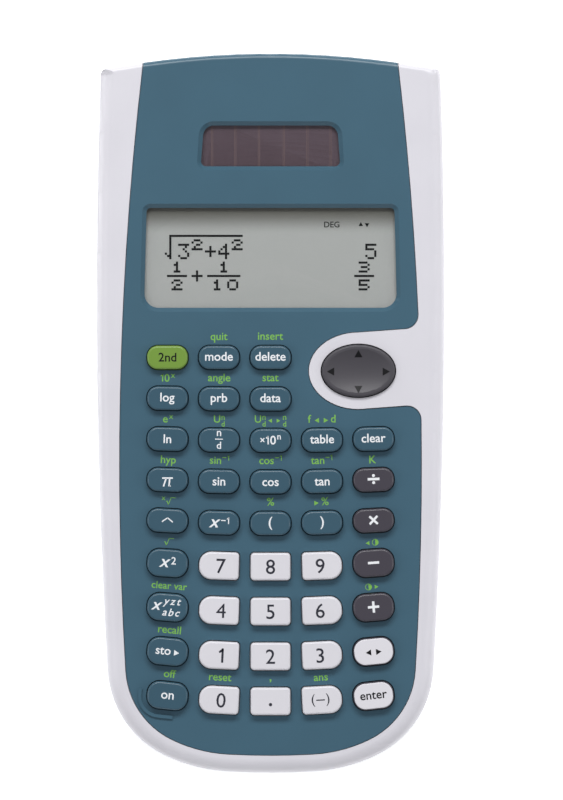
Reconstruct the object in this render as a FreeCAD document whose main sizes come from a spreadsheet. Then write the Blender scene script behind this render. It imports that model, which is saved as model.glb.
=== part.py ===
"""A pocket scientific calculator as a parametric assembly, millimetres, +Z up.

It lies face up on its four rubber feet. X runs across the keys, Y runs from the key end to the
display end, and the origin is at the middle of the outline on the surface under the feet.
"""
import FreeCAD
import Part
import Sketcher
import math
import os

Vector = FreeCAD.Vector
Rotation = FreeCAD.Rotation
Placement = FreeCAD.Placement

doc = FreeCAD.newDocument("calculator")

# Driving dimensions ---------------------------------------------------------------------------

SIZES = [
    ("column_gap", 2.62, "room between two keys of a row"),
    ("upper_row_gap", 4.3, "room between two rows of small keys"),
    ("lower_row_gap", 4.18, "room between two rows of tall keys"),
    ("row_sag", 0.17, "how much deeper each row dips than the row above it"),
    ("key_width", 9.8, "width of a function key"),
    ("number_inset", 0.2, "how much narrower a number key is"),
    ("small_key_height", 5.7, "height on the face of a small key"),
    ("tall_key_height", 6.65, "height on the face of a tall key"),
    ("small_key_corner", 2.6, "corner radius of a small key"),
    ("tall_key_corner", 2.95, "corner radius of a tall key"),
    ("number_corner", 0.9, "corner radius of a square number key corner"),
    ("key_crown", 0.55, "rounding of a key's upper edge"),
    ("key_gap", 0.25, "clearance round a key in its hole"),
    ("key_rise", 2.0, "height of a key above the faceplate"),
    ("flange_width", 0.7, "how far the retaining flange of a key stands out"),
    ("flange_thickness", 0.8, "thickness of the retaining flange"),
    ("flange_gap", 0.2, "gap between the flange and the faceplate"),
    ("stem_width", 3.6, "width of the plunger under a key"),
    ("stem_length", 0.5, "length of the plunger below the flange"),
    ("bottom_reach", 17.4, "from the last row to the key end of the case"),
    ("display_reach", 12.0, "from the first row to the display opening"),
    ("display_height", 24.1, "height of the display opening"),
    ("display_width", 61.0, "width of the display opening at its lower edge"),
    ("display_taper", 1.2, "how much narrower the display opening is at the top"),
    ("display_corner", 3.4, "lower corner radius of the display opening"),
    ("display_top_corner", 1.0, "upper corner radius of the display opening"),
    ("window_bevel", 1.0, "width of the sloped edge round both windows"),
    ("solar_reach", 10.05, "from the display opening to the solar opening"),
    ("solar_height", 9.85, "height of the solar opening"),
    ("solar_width", 33.7, "width of the solar opening at its lower edge"),
    ("solar_taper", 1.5, "how much narrower the solar opening is at the top"),
    ("solar_corner", 1.2, "lower corner radius of the solar opening"),
    ("solar_top_corner", 2.6, "upper corner radius of the solar opening"),
    ("top_reach", 17.4, "from the solar opening to the display end of the case"),
    ("plate_margin", 6.59, "from the outer keys to the widest edge of the faceplate"),
    ("rail_width", 5.67, "width of the side rails beside the faceplate"),
    ("rim_width", 4.4, "width of the rim below the faceplate"),
    ("top_radius", 215.0, "bow of the display end"),
    ("side_radius", 1550.0, "bow of the sides"),
    ("side_y", 28.0, "where the case is widest"),
    ("plate_side_radius", 830.0, "bow of the faceplate's sides"),
    ("plate_side_y", -12.5, "where the faceplate is widest"),
    ("end_radius", 196.7, "flattest arc in the middle of the key end"),
    ("end_reach", 10.4, "half width of that arc"),
    ("shoulder_radius", 39.7, "arc between the flat arc and the corner"),
    ("shoulder_reach", 25.8, "half width where the shoulder ends"),
    ("edge_radius", 3.4, "soft roll of the rails and the rim"),
    ("end_edge_radius", 1.3, "rounding of the display end's upper edge"),
    ("end_corner_radius", 1.6, "rounding of the two upright corners of the display end"),
    ("back_edge_radius", 1.8, "rounding of the rear cover's edge"),
    ("foot_height", 0.8, "how far a rubber foot stands out"),
    ("foot_radius", 4.0, "radius of a rubber foot"),
    ("foot_recess", 0.6, "depth of the seat of a foot"),
    ("foot_gap", 0.05, "clearance round a foot in its seat"),
    ("foot_inset", 12.5, "from the side of the case to the middle of a foot"),
    ("foot_reach", 19.0, "from the ends of the case to the middle of a foot"),
    ("rear_depth", 7.2, "depth of the rear cover"),
    ("front_depth", 7.8, "depth of the front frame"),
    ("wall", 1.8, "side wall of both shells"),
    ("rear_floor", 1.6, "floor of the rear cover"),
    ("plate_recess", 0.3, "how far the faceplate lies below the rails"),
    ("plate_thickness", 2.0, "thickness of the faceplate"),
    ("plate_seam", 0.18, "gap round the faceplate"),
    ("ledge_width", 1.6, "width of the ledge that carries the faceplate"),
    ("ledge_thickness", 1.5, "thickness of that ledge"),
    ("window_thickness", 1.0, "thickness of both windows"),
    ("window_lap", 1.1, "how far a window reaches under the faceplate"),
    ("window_gap", 0.05, "clearance round a window in its seat"),
    ("board_thickness", 1.2, "thickness of the circuit board"),
    ("board_margin", 6.3, "from the middle of the outer keys to the board's edge"),
    ("board_corner", 11.0, "lower corner radius of the board"),
    ("mat_thickness", 0.8, "thickness of the key mat's sheet"),
    ("mat_margin", 5.3, "from the middle of the outer keys to the mat's edge"),
    ("dome_height", 1.8, "height of a dome of the key mat"),
    ("dome_radius", 2.8, "radius of a dome where it leaves the sheet"),
    ("dome_top_radius", 2.0, "radius of a dome at its top"),
    ("pin_window_gap", 0.4, "from the upper pins' heads to the display window"),
    ("pin_radius", 0.8, "radius of the pins that hold the board"),
    ("pin_gap", 0.1, "clearance round a pin"),
    ("pin_head_radius", 1.4, "radius of the flattened end of a pin"),
    ("pin_head_height", 0.6, "thickness of the flattened end"),
    ("boss_radius", 3.0, "radius of a screw boss"),
    ("screw_radius", 1.1, "radius of a screw's shank"),
    ("screw_bite", 3.2, "how far a screw reaches into the front frame"),
    ("screw_head_radius", 2.0, "radius of a screw's head"),
    ("slot_length", 3.0, "length of a slot in a screw head"),
    ("slot_width", 0.5, "width of that slot"),
    ("screw_head_height", 1.3, "height of a screw's head"),
    ("screw_sink", 0.7, "how far a head lies below the rear cover's face"),
    ("hole_gap", 0.15, "clearance round a screw in the rear cover"),
    ("pad_width", 17.7, "width of the direction pad"),
    ("pad_depth", 12.6, "depth on the face of the direction pad"),
    ("pad_gap", 0.28, "clearance round the direction pad"),
    ("pad_rise", 1.1, "height of the pad's rim above the rails"),
    ("pad_rim", 0.9, "width of the pad's rim"),
    ("pad_dish", 1.1, "depth of the hollow in the pad"),
    ("dish_form", 8.0, "half height of the egg shape that forms the hollow"),
    ("pad_flange_gap", 1.0, "room above the pad's flange for its tilt"),
    ("pad_inset", 15.13, "from the middle of the pad to the widest edge of the faceplate"),
    ("pad_drop", 3.2, "from the first row down to the middle of the pad"),
    ("island_margin", 3.25, "from the pad to the round end of its island"),
    ("island_side_margin", 3.1, "from the pad to the long sides of its island"),
    ("island_rise", 1.3, "how much the island slants up towards the rail"),
    ("island_fillet", 3.3, "inner corner radius where the island meets the rail"),
    ("guard_root", 0.2, "how deep the rib is set into the faceplate"),
    ("guard_reach", 0.25, "how far the rib runs past the middle of the key, as a share"),
    ("guard_gap", 1.15, "from the on key to its guard"),
    ("guard_width", 0.8, "width of the guard of the on key"),
    ("guard_rise", 0.5, "height of the guard of the on key"),
    ("lcd_thickness", 2.2, "thickness of the display glass"),
    ("lcd_frame_floor", 0.8, "floor of the display's holder"),
    ("lcd_frame_rim", 1.5, "rim of the display's holder outside the opening"),
    ("lcd_border", 0.4, "from the opening to the edge of the display glass"),
    ("strip_width", 52.0, "length of the rubber contact strip"),
    ("strip_depth", 2.0, "thickness of the rubber contact strip"),
    ("cell_thickness", 1.2, "thickness of the solar cell"),
    ("cell_border", 1.0, "from the solar opening to the edge of the cell"),
    ("lead_radius", 0.5, "radius of a wire of the solar cell"),
    ("lead_bend", 1.6, "bend radius of a wire of the solar cell"),
    ("lead_spread", 12.0, "distance between the two wires"),
    ("battery_radius", 10.0, "radius of the coin cell"),
    ("battery_height", 3.2, "thickness of the coin cell"),
    ("contact_thickness", 0.3, "thickness of the battery's contacts"),
    ("contact_width", 6.0, "width of the battery's contacts"),
    ("blob_radius", 8.0, "radius of the sealed chip"),
    ("blob_height", 1.5, "height of the sealed chip"),
]

# Sizes that follow from the driving dimensions, as expressions of them.
DERIVED = [
    ("column_pitch", "Sizes.key_width + Sizes.column_gap"),
    ("upper_row_pitch", "Sizes.small_key_height + Sizes.upper_row_gap"),
    ("lower_row_pitch", "Sizes.tall_key_height + Sizes.lower_row_gap"),
    ("number_width", "Sizes.key_width - Sizes.number_inset"),
    ("middle_row_pitch", "(Derived.upper_row_pitch + Derived.lower_row_pitch) / 2"),
    ("rows_length", "4 * Derived.upper_row_pitch + Derived.middle_row_pitch + 3 * Derived.lower_row_pitch"),
    ("windows_length", "Sizes.display_height + Sizes.solar_reach + Sizes.solar_height"),
    ("key_field_length", "Sizes.bottom_reach + Derived.rows_length + Sizes.display_reach"),
    ("half_length", "(Derived.key_field_length + Derived.windows_length + Sizes.top_reach) / 2"),
    ("plate_half", "2 * Derived.column_pitch + Sizes.key_width / 2 + Sizes.plate_margin"),
    ("half_width", "Derived.plate_half + Sizes.rail_width"),
    ("first_row_y", "Sizes.bottom_reach + Derived.rows_length - Derived.half_length"),
    ("display_y", "Derived.first_row_y + Sizes.display_reach"),
    ("solar_y", "Derived.display_y + Sizes.display_height + Sizes.solar_reach"),
    ("rear_floor_top", "Sizes.foot_height + Sizes.rear_floor"),
    ("part_line", "Sizes.foot_height + Sizes.rear_depth"),
    ("front_top", "Derived.part_line + Sizes.front_depth"),
    ("plate_top", "Derived.front_top - Sizes.plate_recess"),
    ("plate_under", "Derived.plate_top - Sizes.plate_thickness"),
    ("ledge_under", "Derived.plate_under - Sizes.ledge_thickness"),
    ("window_top", "Derived.plate_under + Sizes.window_thickness"),
    ("key_top", "Derived.plate_top + Sizes.key_rise"),
    ("flange_top", "Derived.plate_under - Sizes.flange_gap"),
    ("flange_under", "Derived.flange_top - Sizes.flange_thickness"),
    ("dome_top", "Derived.flange_under - Sizes.stem_length"),
    ("mat_top", "Derived.dome_top - Sizes.dome_height"),
    ("board_top", "Derived.mat_top - Sizes.mat_thickness"),
    ("board_under", "Derived.board_top - Sizes.board_thickness"),
    ("pad_x", "Derived.plate_half - Sizes.pad_inset"),
    ("pad_y", "Derived.first_row_y - Sizes.pad_drop"),
    ("island_width", "Sizes.pad_width + 2 * Sizes.island_margin"),
    ("island_depth", "Sizes.pad_depth + 2 * Sizes.island_side_margin"),
    ("pad_top", "Derived.front_top + Sizes.pad_rise"),
    ("dish_spread", "1 / sqrt(1 - ((Sizes.dish_form - Sizes.pad_dish) / Sizes.dish_form)^2)"),
    ("pad_flange_top", "Derived.dome_top + Sizes.flange_thickness"),
    ("lcd_under", "Derived.plate_under - Sizes.lcd_thickness"),
    ("lcd_frame_under", "Derived.lcd_under - Sizes.lcd_frame_floor"),
    ("cell_under", "Derived.plate_under - Sizes.cell_thickness"),
    ("board_half", "2 * Derived.column_pitch + Sizes.board_margin"),
    ("mat_half", "2 * Derived.column_pitch + Sizes.mat_margin"),
    ("battery_top", "Derived.board_under - Sizes.contact_thickness"),
    ("battery_under", "Derived.battery_top - Sizes.battery_height"),
    ("screw_seat", "Sizes.foot_height + Sizes.screw_sink + Sizes.screw_head_height"),
]


def make_sheet():
    """Write the driving dimensions to a spreadsheet and bind the derived ones to it."""
    sheet = doc.addObject("Spreadsheet::Sheet", "Sizes")
    for row, (alias, number, meaning) in enumerate(SIZES, start=1):
        sheet.set(f"A{row}", meaning)
        sheet.set(f"B{row}", str(number))
        sheet.setAlias(f"B{row}", alias)
    derived = doc.addObject("App::VarSet", "Derived")
    for name, _ in DERIVED:
        derived.addProperty("App::PropertyFloat", name)
    doc.recompute()
    for name, expression in DERIVED:
        derived.setExpression(name, expression)
    doc.recompute()
    return derived


derived = make_sheet()


def size(expression):
    """The number behind an expression of the driving and derived dimensions."""
    return float(derived.evalExpression(expression))


# Plan curves ----------------------------------------------------------------------------------


def arc_between(centre, start, finish):
    """The short arc round a centre from one point to another."""
    outward = (start - centre) + (finish - centre)
    middle = centre + outward.normalize() * start.distanceToPoint(centre)
    return Part.ArcOfCircle(start, middle, finish)


def circle_meeting(centre_a, radius_a, centre_b, radius_b):
    """The meeting point with the larger X and Y of two circles."""
    between = centre_b - centre_a
    distance = between.Length
    along = (distance**2 + radius_a**2 - radius_b**2) / (2 * distance)
    aside = math.sqrt(radius_a**2 - along**2)
    unit = between * (1 / distance)
    base = centre_a + unit * along
    sideways = Vector(-unit.y, unit.x, 0) * aside
    return max(base + sideways, base - sideways, key=lambda point: point.x + point.y)


def end_arcs(inset, side_centre, side_radius):
    """Right half of the rounded key end: tangent arcs from its middle up to the side."""
    end_radius = size("Sizes.end_radius")
    end_centre = Vector(0, end_radius - size("Derived.half_length"), 0)
    turn = math.asin(size("Sizes.end_reach") / end_radius)
    inward = Vector(-math.sin(turn), math.cos(turn), 0)
    first = end_centre - inward * (end_radius - inset)
    shoulder_radius = size("Sizes.shoulder_radius")
    shoulder_centre = end_centre - inward * (end_radius - shoulder_radius)
    turn = math.asin((size("Sizes.shoulder_reach") - shoulder_centre.x) / shoulder_radius)
    inward = Vector(-math.sin(turn), math.cos(turn), 0)
    second = shoulder_centre - inward * (shoulder_radius - inset)
    from_side = second - side_centre
    square = side_radius**2 - from_side.dot(from_side)
    corner_radius = square / (2 * (side_radius + inward.dot(from_side)))
    corner_centre = second + inward * corner_radius
    outward = (corner_centre - side_centre).normalize()
    third = side_centre + outward * side_radius
    return [(end_centre, first), (shoulder_centre, second), (corner_centre, third)]


def mirrored(point):
    """The same point on the other side of the YZ plane."""
    return Vector(-point.x, point.y, point.z)


def loop_arcs(ends, side_centre, top_corner):
    """All arcs of an outline except its top edge, counter-clockwise from the top left."""
    (end_centre, first), (shoulder_centre, second), (corner_centre, third) = ends
    right = [
        (shoulder_centre, first, second),
        (corner_centre, second, third),
        (side_centre, third, top_corner),
    ]
    left = [(mirrored(c), mirrored(b), mirrored(a)) for c, a, b in reversed(right)]
    middle = [(end_centre, mirrored(first), first)]
    return [arc_between(*piece) for piece in left + middle + right]


def case_arcs(inset):
    """Arcs of the case's outline, moved inwards by the inset."""
    side_radius = size("Sizes.side_radius")
    side_centre = Vector(size("Derived.half_width") - side_radius, size("Sizes.side_y"), 0)
    top_radius = size("Sizes.top_radius")
    top_centre = Vector(0, size("Derived.half_length") - top_radius, 0)
    ends = end_arcs(inset, side_centre, side_radius - inset)
    corner = circle_meeting(side_centre, side_radius - inset, top_centre, top_radius - inset)
    arcs = loop_arcs(ends, side_centre, corner)
    return arcs + [arc_between(top_centre, corner, mirrored(corner))]


def case_half_width(y):
    """Half the width of the case at one place along it."""
    radius = size("Sizes.side_radius")
    rise = y - size("Sizes.side_y")
    return size("Derived.half_width") - radius + math.sqrt(radius**2 - rise**2)


def plate_edges(spread):
    """Edges of the faceplate's sides and lower end, closed by a line past the display end."""
    side_radius = size("Sizes.plate_side_radius")
    side_centre = Vector(size("Derived.plate_half") - side_radius, size("Sizes.plate_side_y"), 0)
    side_radius += spread
    past_end = size("Derived.half_length") + size("Sizes.rail_width")
    rise = past_end - side_centre.y
    corner = Vector(side_centre.x + math.sqrt(side_radius**2 - rise**2), past_end, 0)
    ends = end_arcs(size("Sizes.rim_width") - spread, side_centre, side_radius)
    curves = loop_arcs(ends, side_centre, corner) + [Part.LineSegment(corner, mirrored(corner))]
    return [curve.toShape() for curve in curves]


def rounded_outline(corners, radii):
    """A closed wire through the corners, each of them rounded by its own radius."""
    arcs = []
    for index, corner in enumerate(corners):
        back = (corners[index - 1] - corner).normalize()
        ahead = (corners[(index + 1) % len(corners)] - corner).normalize()
        half_angle = back.getAngle(ahead) / 2
        reach = radii[index] / math.tan(half_angle)
        centre = corner + (back + ahead).normalize() * (radii[index] / math.sin(half_angle))
        arcs.append((centre, corner + back * reach, corner + ahead * reach))
    edges = []
    for index, (centre, start, finish) in enumerate(arcs):
        edges.append(arc_between(centre, start, finish).toShape())
        following = arcs[(index + 1) % len(arcs)][1]
        edges.append(Part.LineSegment(finish, following).toShape())
    return Part.Wire(edges)


def prism(wire, bottom, top):
    """A straight solid over a closed wire, from one height to another."""
    return Part.Face(wire).extrude(Vector(0, 0, top - bottom)).translated(Vector(0, 0, bottom))


# Document helpers -----------------------------------------------------------------------------


def new_body(label):
    """An empty body that will be one sub-part."""
    body = doc.addObject("PartDesign::Body", label)
    body.Label = label
    return body


def flat_sketch(body, name, height):
    """A sketch parallel to the body's own XY plane, at a height given by an expression."""
    sketch = body.newObject("Sketcher::SketchObject", name)
    plane = next(item for item in body.Origin.OriginFeatures if item.Role == "XY_Plane")
    sketch.AttachmentSupport = [(plane, "")]
    sketch.MapMode = "FlatFace"
    sketch.setExpression("AttachmentOffset.Base.z", height)
    return sketch


def add_rectangle(sketch, width, depth):
    """A rectangle round the sketch's origin with its two sizes bound to expressions."""
    x, y = size(width) / 2, size(depth) / 2
    corners = [Vector(-x, -y, 0), Vector(x, -y, 0), Vector(x, y, 0), Vector(-x, y, 0)]
    for index in range(4):
        sketch.addGeometry(Part.LineSegment(corners[index], corners[(index + 1) % 4]))
    for index in range(4):
        sketch.addConstraint(Sketcher.Constraint("Coincident", index, 2, (index + 1) % 4, 1))
    for index, direction in enumerate(["Horizontal", "Vertical", "Horizontal", "Vertical"]):
        sketch.addConstraint(Sketcher.Constraint(direction, index))
    sketch.addConstraint(Sketcher.Constraint("Symmetric", 0, 1, 1, 2, -1, 1))
    across = sketch.addConstraint(Sketcher.Constraint("DistanceX", 0, 1, 0, 2, 2 * x))
    sketch.setExpression(f"Constraints[{across}]", width)
    along = sketch.addConstraint(Sketcher.Constraint("DistanceY", 1, 1, 1, 2, 2 * y))
    sketch.setExpression(f"Constraints[{along}]", depth)


def add_case_outline(sketch, inset):
    """The case's outline in a sketch, its named radii bound to the sheet."""
    arcs = case_arcs(size(inset))
    for arc in arcs:
        sketch.addGeometry(arc)
    for index in range(len(arcs)):
        following = (index + 1) % len(arcs)
        sketch.addConstraint(Sketcher.Constraint("Coincident", index, 2, following, 1))
    bound = {0: "side", 2: "shoulder", 3: "end", 4: "shoulder", 6: "side", 7: "top"}
    for index, name in bound.items():
        rule = sketch.addConstraint(Sketcher.Constraint("Radius", index, arcs[index].Radius))
        sketch.setExpression(f"Constraints[{rule}]", f"Sizes.{name}_radius - ({inset})")


def add_feature(body, kind, name, sketch, length, reversed_side=False):
    """A pad or a pocket of a sketch, with its length bound to an expression."""
    feature = body.newObject(f"PartDesign::{kind}", name)
    feature.Profile = sketch
    feature.Reversed = reversed_side
    feature.setExpression("Length", length)
    doc.recompute()
    return feature


def round_edges(body, name, chosen, radius):
    """Round the edges of the body's present shape that the test picks."""
    base = body.Tip
    names = [f"Edge{i}" for i, edge in enumerate(base.Shape.Edges, start=1) if chosen(edge)]
    feature = body.newObject("PartDesign::Fillet", name)
    feature.Base = (base, names)
    feature.setExpression("Radius", radius)
    doc.recompute()
    return feature


def is_upright(edge):
    """True for a straight edge along Z."""
    run = edge.valueAt(edge.LastParameter) - edge.valueAt(edge.FirstParameter)
    return abs(run.z) > 1e-6 and abs(run.x) < 1e-6 and abs(run.y) < 1e-6


def lies_at(edge, height):
    """True for an edge that lies at one height all along."""
    return all(abs(point.z - height) < 1e-6 for point in edge.discretize(3))


def on_display_end(edge):
    """True for an edge that lies on the curved face of the display end."""
    radius = size("Sizes.top_radius")
    centre = Vector(0, size("Derived.half_length") - radius, 0)
    flat = [Vector(point.x, point.y, 0) for point in edge.discretize(3)]
    return all(abs(point.distanceToPoint(centre) - radius) < 1e-4 for point in flat)


def part_object(kind, label, place=None, **bindings):
    """A Part primitive with its sizes bound to expressions."""
    item = doc.addObject(f"Part::{kind}", label)
    item.Label = label
    for name, expression in bindings.items():
        item.setExpression(name, expression)
    if place is not None:
        item.Placement = Placement(place, Rotation())
    return item


def shape_object(label, shape):
    """A shape made here from the sheet's values, as an object of the document."""
    item = doc.addObject("Part::Feature", label)
    item.Label = label
    item.Shape = shape
    return item


def fused(label, items):
    """One solid out of several objects."""
    item = doc.addObject("Part::MultiFuse", label)
    item.Label = label
    item.Shapes = items
    return item


def cut(label, base, tools):
    """An object with one or more tools taken away."""
    if len(tools) > 1:
        tools = [fused(label + "_openings", tools)]
    item = doc.addObject("Part::Cut", label)
    item.Label = label
    item.Base = base
    item.Tool = tools[0]
    return item


def common(label, base, tool):
    """What two objects share."""
    item = doc.addObject("Part::Common", label)
    item.Label = label
    item.Base = base
    item.Tool = tool
    return item


# The key layout -------------------------------------------------------------------------------

KEY_ROWS = [
    ["key_2nd", "key_mode", "key_delete", None, None],
    ["key_log", "key_prb", "key_data", None, None],
    ["key_ln", "key_fraction", "key_exponent", "key_table", "key_clear"],
    ["key_pi", "key_sin", "key_cos", "key_tan", "key_divide"],
    ["key_power", "key_inverse", "key_open_paren", "key_close_paren", "key_multiply"],
    ["key_square", "key_7", "key_8", "key_9", "key_subtract"],
    ["key_variable", "key_4", "key_5", "key_6", "key_add"],
    ["key_store", "key_1", "key_2", "key_3", "key_toggle"],
    ["key_on", "key_0", "key_point", "key_negate", "key_enter"],
]
SMALL_ROWS = 5
MIDDLE_COLUMN = 2


def row_y(row):
    """Y of the middle key of a row, counted from 0 at the display side."""
    upper = min(row, SMALL_ROWS - 1)
    lower = max(row - SMALL_ROWS, 0)
    drop = upper * size("Derived.upper_row_pitch") + lower * size("Derived.lower_row_pitch")
    if row >= SMALL_ROWS:
        drop += size("Derived.middle_row_pitch")
    return size("Derived.first_row_y") - drop


def key_place(row, column):
    """Where a key lies: every row is a shallow bow, deeper towards the key end."""
    x = (column - MIDDLE_COLUMN) * size("Derived.column_pitch")
    half_row = MIDDLE_COLUMN * size("Derived.column_pitch")
    sag = row * size("Sizes.row_sag")
    slope = 2 * sag * x / half_row**2
    y = row_y(row) + sag * (x / half_row) ** 2
    return Placement(Vector(x, y, 0), Rotation(Vector(0, 0, 1), math.degrees(math.atan(slope))))


def key_form(row, column):
    """Expressions for a key's width, height and its left and right corner radii."""
    tall = row >= SMALL_ROWS
    height = "Sizes.tall_key_height" if tall else "Sizes.small_key_height"
    pill = "Sizes.tall_key_corner" if tall else "Sizes.small_key_corner"
    full = f"min({pill}; {height} / 2 - 0.05)"
    if not tall or column in (0, 4):
        return "Sizes.key_width", height, full, full
    left = full if column == 1 else "Sizes.number_corner"
    right = full if column == 3 else "Sizes.number_corner"
    return "Derived.number_width", height, left, right


def all_keys():
    """Every key as (label, row, column)."""
    for row, labels in enumerate(KEY_ROWS):
        for column, label in enumerate(labels):
            if label:
                yield label, row, column


def key_wire(row, column, spread):
    """A key's outline in place, grown by the spread."""
    width, height, left, right = key_form(row, column)
    x, y = size(width) / 2 + spread, size(height) / 2 + spread
    corners = [Vector(-x, -y, 0), Vector(x, -y, 0), Vector(x, y, 0), Vector(-x, y, 0)]
    left, right = size(left) + spread, size(right) + spread
    wire = rounded_outline(corners, [left, right, right, left])
    wire.Placement = key_place(row, column)
    return wire


def make_key(label, row, column):
    """A key cap with its retaining flange and the plunger that stands on its dome."""
    width, height, left, right = key_form(row, column)
    body = new_body(label)
    cap = flat_sketch(body, label + "_cap", "Derived.flange_under")
    add_rectangle(cap, width, height)
    add_feature(body, "Pad", label + "_cap_pad", cap, "Derived.key_top - Derived.flange_under")
    for side, radius in ((-1, left), (1, right)):
        reach = size(width) / 2
        corner = lambda edge: is_upright(edge) and abs(edge.CenterOfMass.x - side * reach) < 1e-6
        round_edges(body, f"{label}_corners_{side + 1}", corner, radius)
    top = size("Derived.key_top")
    round_edges(body, label + "_crown", lambda edge: lies_at(edge, top), "Sizes.key_crown")
    flange = flat_sketch(body, label + "_flange", "Derived.flange_under")
    flange_width = f"{width} + 2 * Sizes.flange_width"
    add_rectangle(flange, flange_width, f"{height} + 2 * Sizes.flange_width")
    add_feature(body, "Pad", label + "_flange_pad", flange, "Sizes.flange_thickness")
    outer = size(flange_width) / 2
    corner = lambda edge: is_upright(edge) and abs(abs(edge.CenterOfMass.x) - outer) < 1e-6
    radius = f"{min(left, right, key=size)} + Sizes.flange_width"
    round_edges(body, label + "_flange_corners", corner, radius)
    stem = flat_sketch(body, label + "_stem", "Derived.dome_top")
    add_rectangle(stem, "Sizes.stem_width", "Sizes.stem_width")
    add_feature(body, "Pad", label + "_stem_pad", stem, "Sizes.stem_length")
    body.Placement = key_place(row, column)
    return body


# Places that several pieces share --------------------------------------------------------------


def screw_places():
    """Six screw places in the plan, tucked into the side walls."""
    half_length = size("Derived.half_length")
    boss = size("Sizes.boss_radius")
    heights = [
        half_length - size("Sizes.solar_height") - boss,
        (row_y(1) + row_y(2)) / 2,
        (row_y(7) + row_y(8)) / 2 + boss,
    ]
    places = []
    for y in heights:
        x = case_half_width(y) - size("Sizes.wall") - boss
        places += [Vector(x, y, 0), Vector(-x, y, 0)]
    return places


def foot_places():
    """Four places for the rubber feet."""
    y = size("Derived.half_length") - size("Sizes.foot_reach")
    x = case_half_width(-y) - size("Sizes.foot_inset")
    return [Vector(sx * x, sy * y, 0) for sx in (-1, 1) for sy in (-1, 1)]


def pin_places():
    """Six places between the keys where pins of the faceplate hold the mat and the board."""
    x = 1.5 * size("Derived.column_pitch")
    above_keys = size("Derived.display_y - Sizes.pin_head_radius - Sizes.window_lap - Sizes.pin_window_gap")
    places = [Vector(side * x, above_keys, 0) for side in (-1, 1)]
    for upper in (4, 7):
        for column in (0, 3):
            corners = [key_place(r, c).Base for r in (upper, upper + 1) for c in (column, column + 1)]
            places.append((corners[0] + corners[1] + corners[2] + corners[3]) * 0.25)
    return places


def at(place, height):
    """A plan place lifted to a height given by an expression."""
    return Vector(place.x, place.y, size(height))


# Shells ----------------------------------------------------------------------------------------


def front_form(label, top):
    """The case's outline as a solid from the parting line up."""
    body = new_body(label)
    outline = flat_sketch(body, label + "_outline", "Derived.part_line")
    add_case_outline(outline, "0")
    add_feature(body, "Pad", label + "_pad", outline, f"{top} - Derived.part_line")
    return body


def front_blank(label, top):
    """The solid outer form above the parting line: rolled sides and a rounded display end."""
    height = size(top)
    sides = front_form(label + "_sides", top)
    rolled = lambda edge: lies_at(edge, height) and not on_display_end(edge)
    round_edges(sides, label + "_roll", rolled, "Sizes.edge_radius")
    end = front_form(label + "_end", top)
    corner = lambda edge: is_upright(edge) and on_display_end(edge)
    round_edges(end, label + "_corners", corner, "Sizes.end_corner_radius")
    edge_radius = "min(Sizes.end_edge_radius; Sizes.end_corner_radius - 0.1)"
    round_edges(end, label + "_rim", lambda edge: lies_at(edge, height), edge_radius)
    return common(label, sides, end)


def island_shape(spread, bottom, top):
    """The round-ended island of the direction pad, reaching into the right rail."""
    centre = Vector(size("Derived.pad_x"), size("Derived.pad_y"), 0)
    across = size("Derived.island_width") / 2 - spread
    deep = size("Derived.island_depth") / 2 - spread
    ellipse = Part.Ellipse(centre, across, deep).toShape()
    round_end = prism(Part.Wire([ellipse]), bottom, top)
    reach = size("Derived.plate_half + Sizes.rail_width / 2")
    rise = size("Sizes.island_rise")
    corners = [
        Vector(centre.x, centre.y - deep, 0),
        Vector(reach, centre.y - deep + rise, 0),
        Vector(reach, centre.y + deep + rise, 0),
        Vector(centre.x, centre.y + deep, 0),
    ]
    bridge = prism(Part.makePolygon(corners + corners[:1]), bottom, top)
    return round_end.fuse(bridge).removeSplitter()


def plate_region(spread, bottom, top):
    """The faceplate's plan grown by the spread, cut out round the island, as a solid."""
    island = island_shape(spread, bottom - 1, top + 1)
    plan = prism(Part.Wire(plate_edges(spread)), bottom, top).cut(island)
    middle = size("Derived.pad_y")
    reach = size("Derived.island_depth") / 2 + size("Sizes.island_fillet")
    inner = size("Derived.pad_x") + size("Derived.island_width") / 4
    corners = [
        edge
        for edge in plan.Edges
        if is_upright(edge)
        and edge.CenterOfMass.x > inner
        and abs(edge.CenterOfMass.y - middle) < reach
    ]
    return plan.makeFillet(size("Sizes.island_fillet") + spread, corners)


def pad_ellipse(spread, bottom, top):
    """An upright elliptic solid round the middle of the direction pad."""
    centre = Vector(size("Derived.pad_x"), size("Derived.pad_y"), 0)
    across = size("Sizes.pad_width") / 2 + spread
    deep = size("Sizes.pad_depth") / 2 + spread
    return prism(Part.Wire([Part.Ellipse(centre, across, deep).toShape()]), bottom, top)


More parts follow.
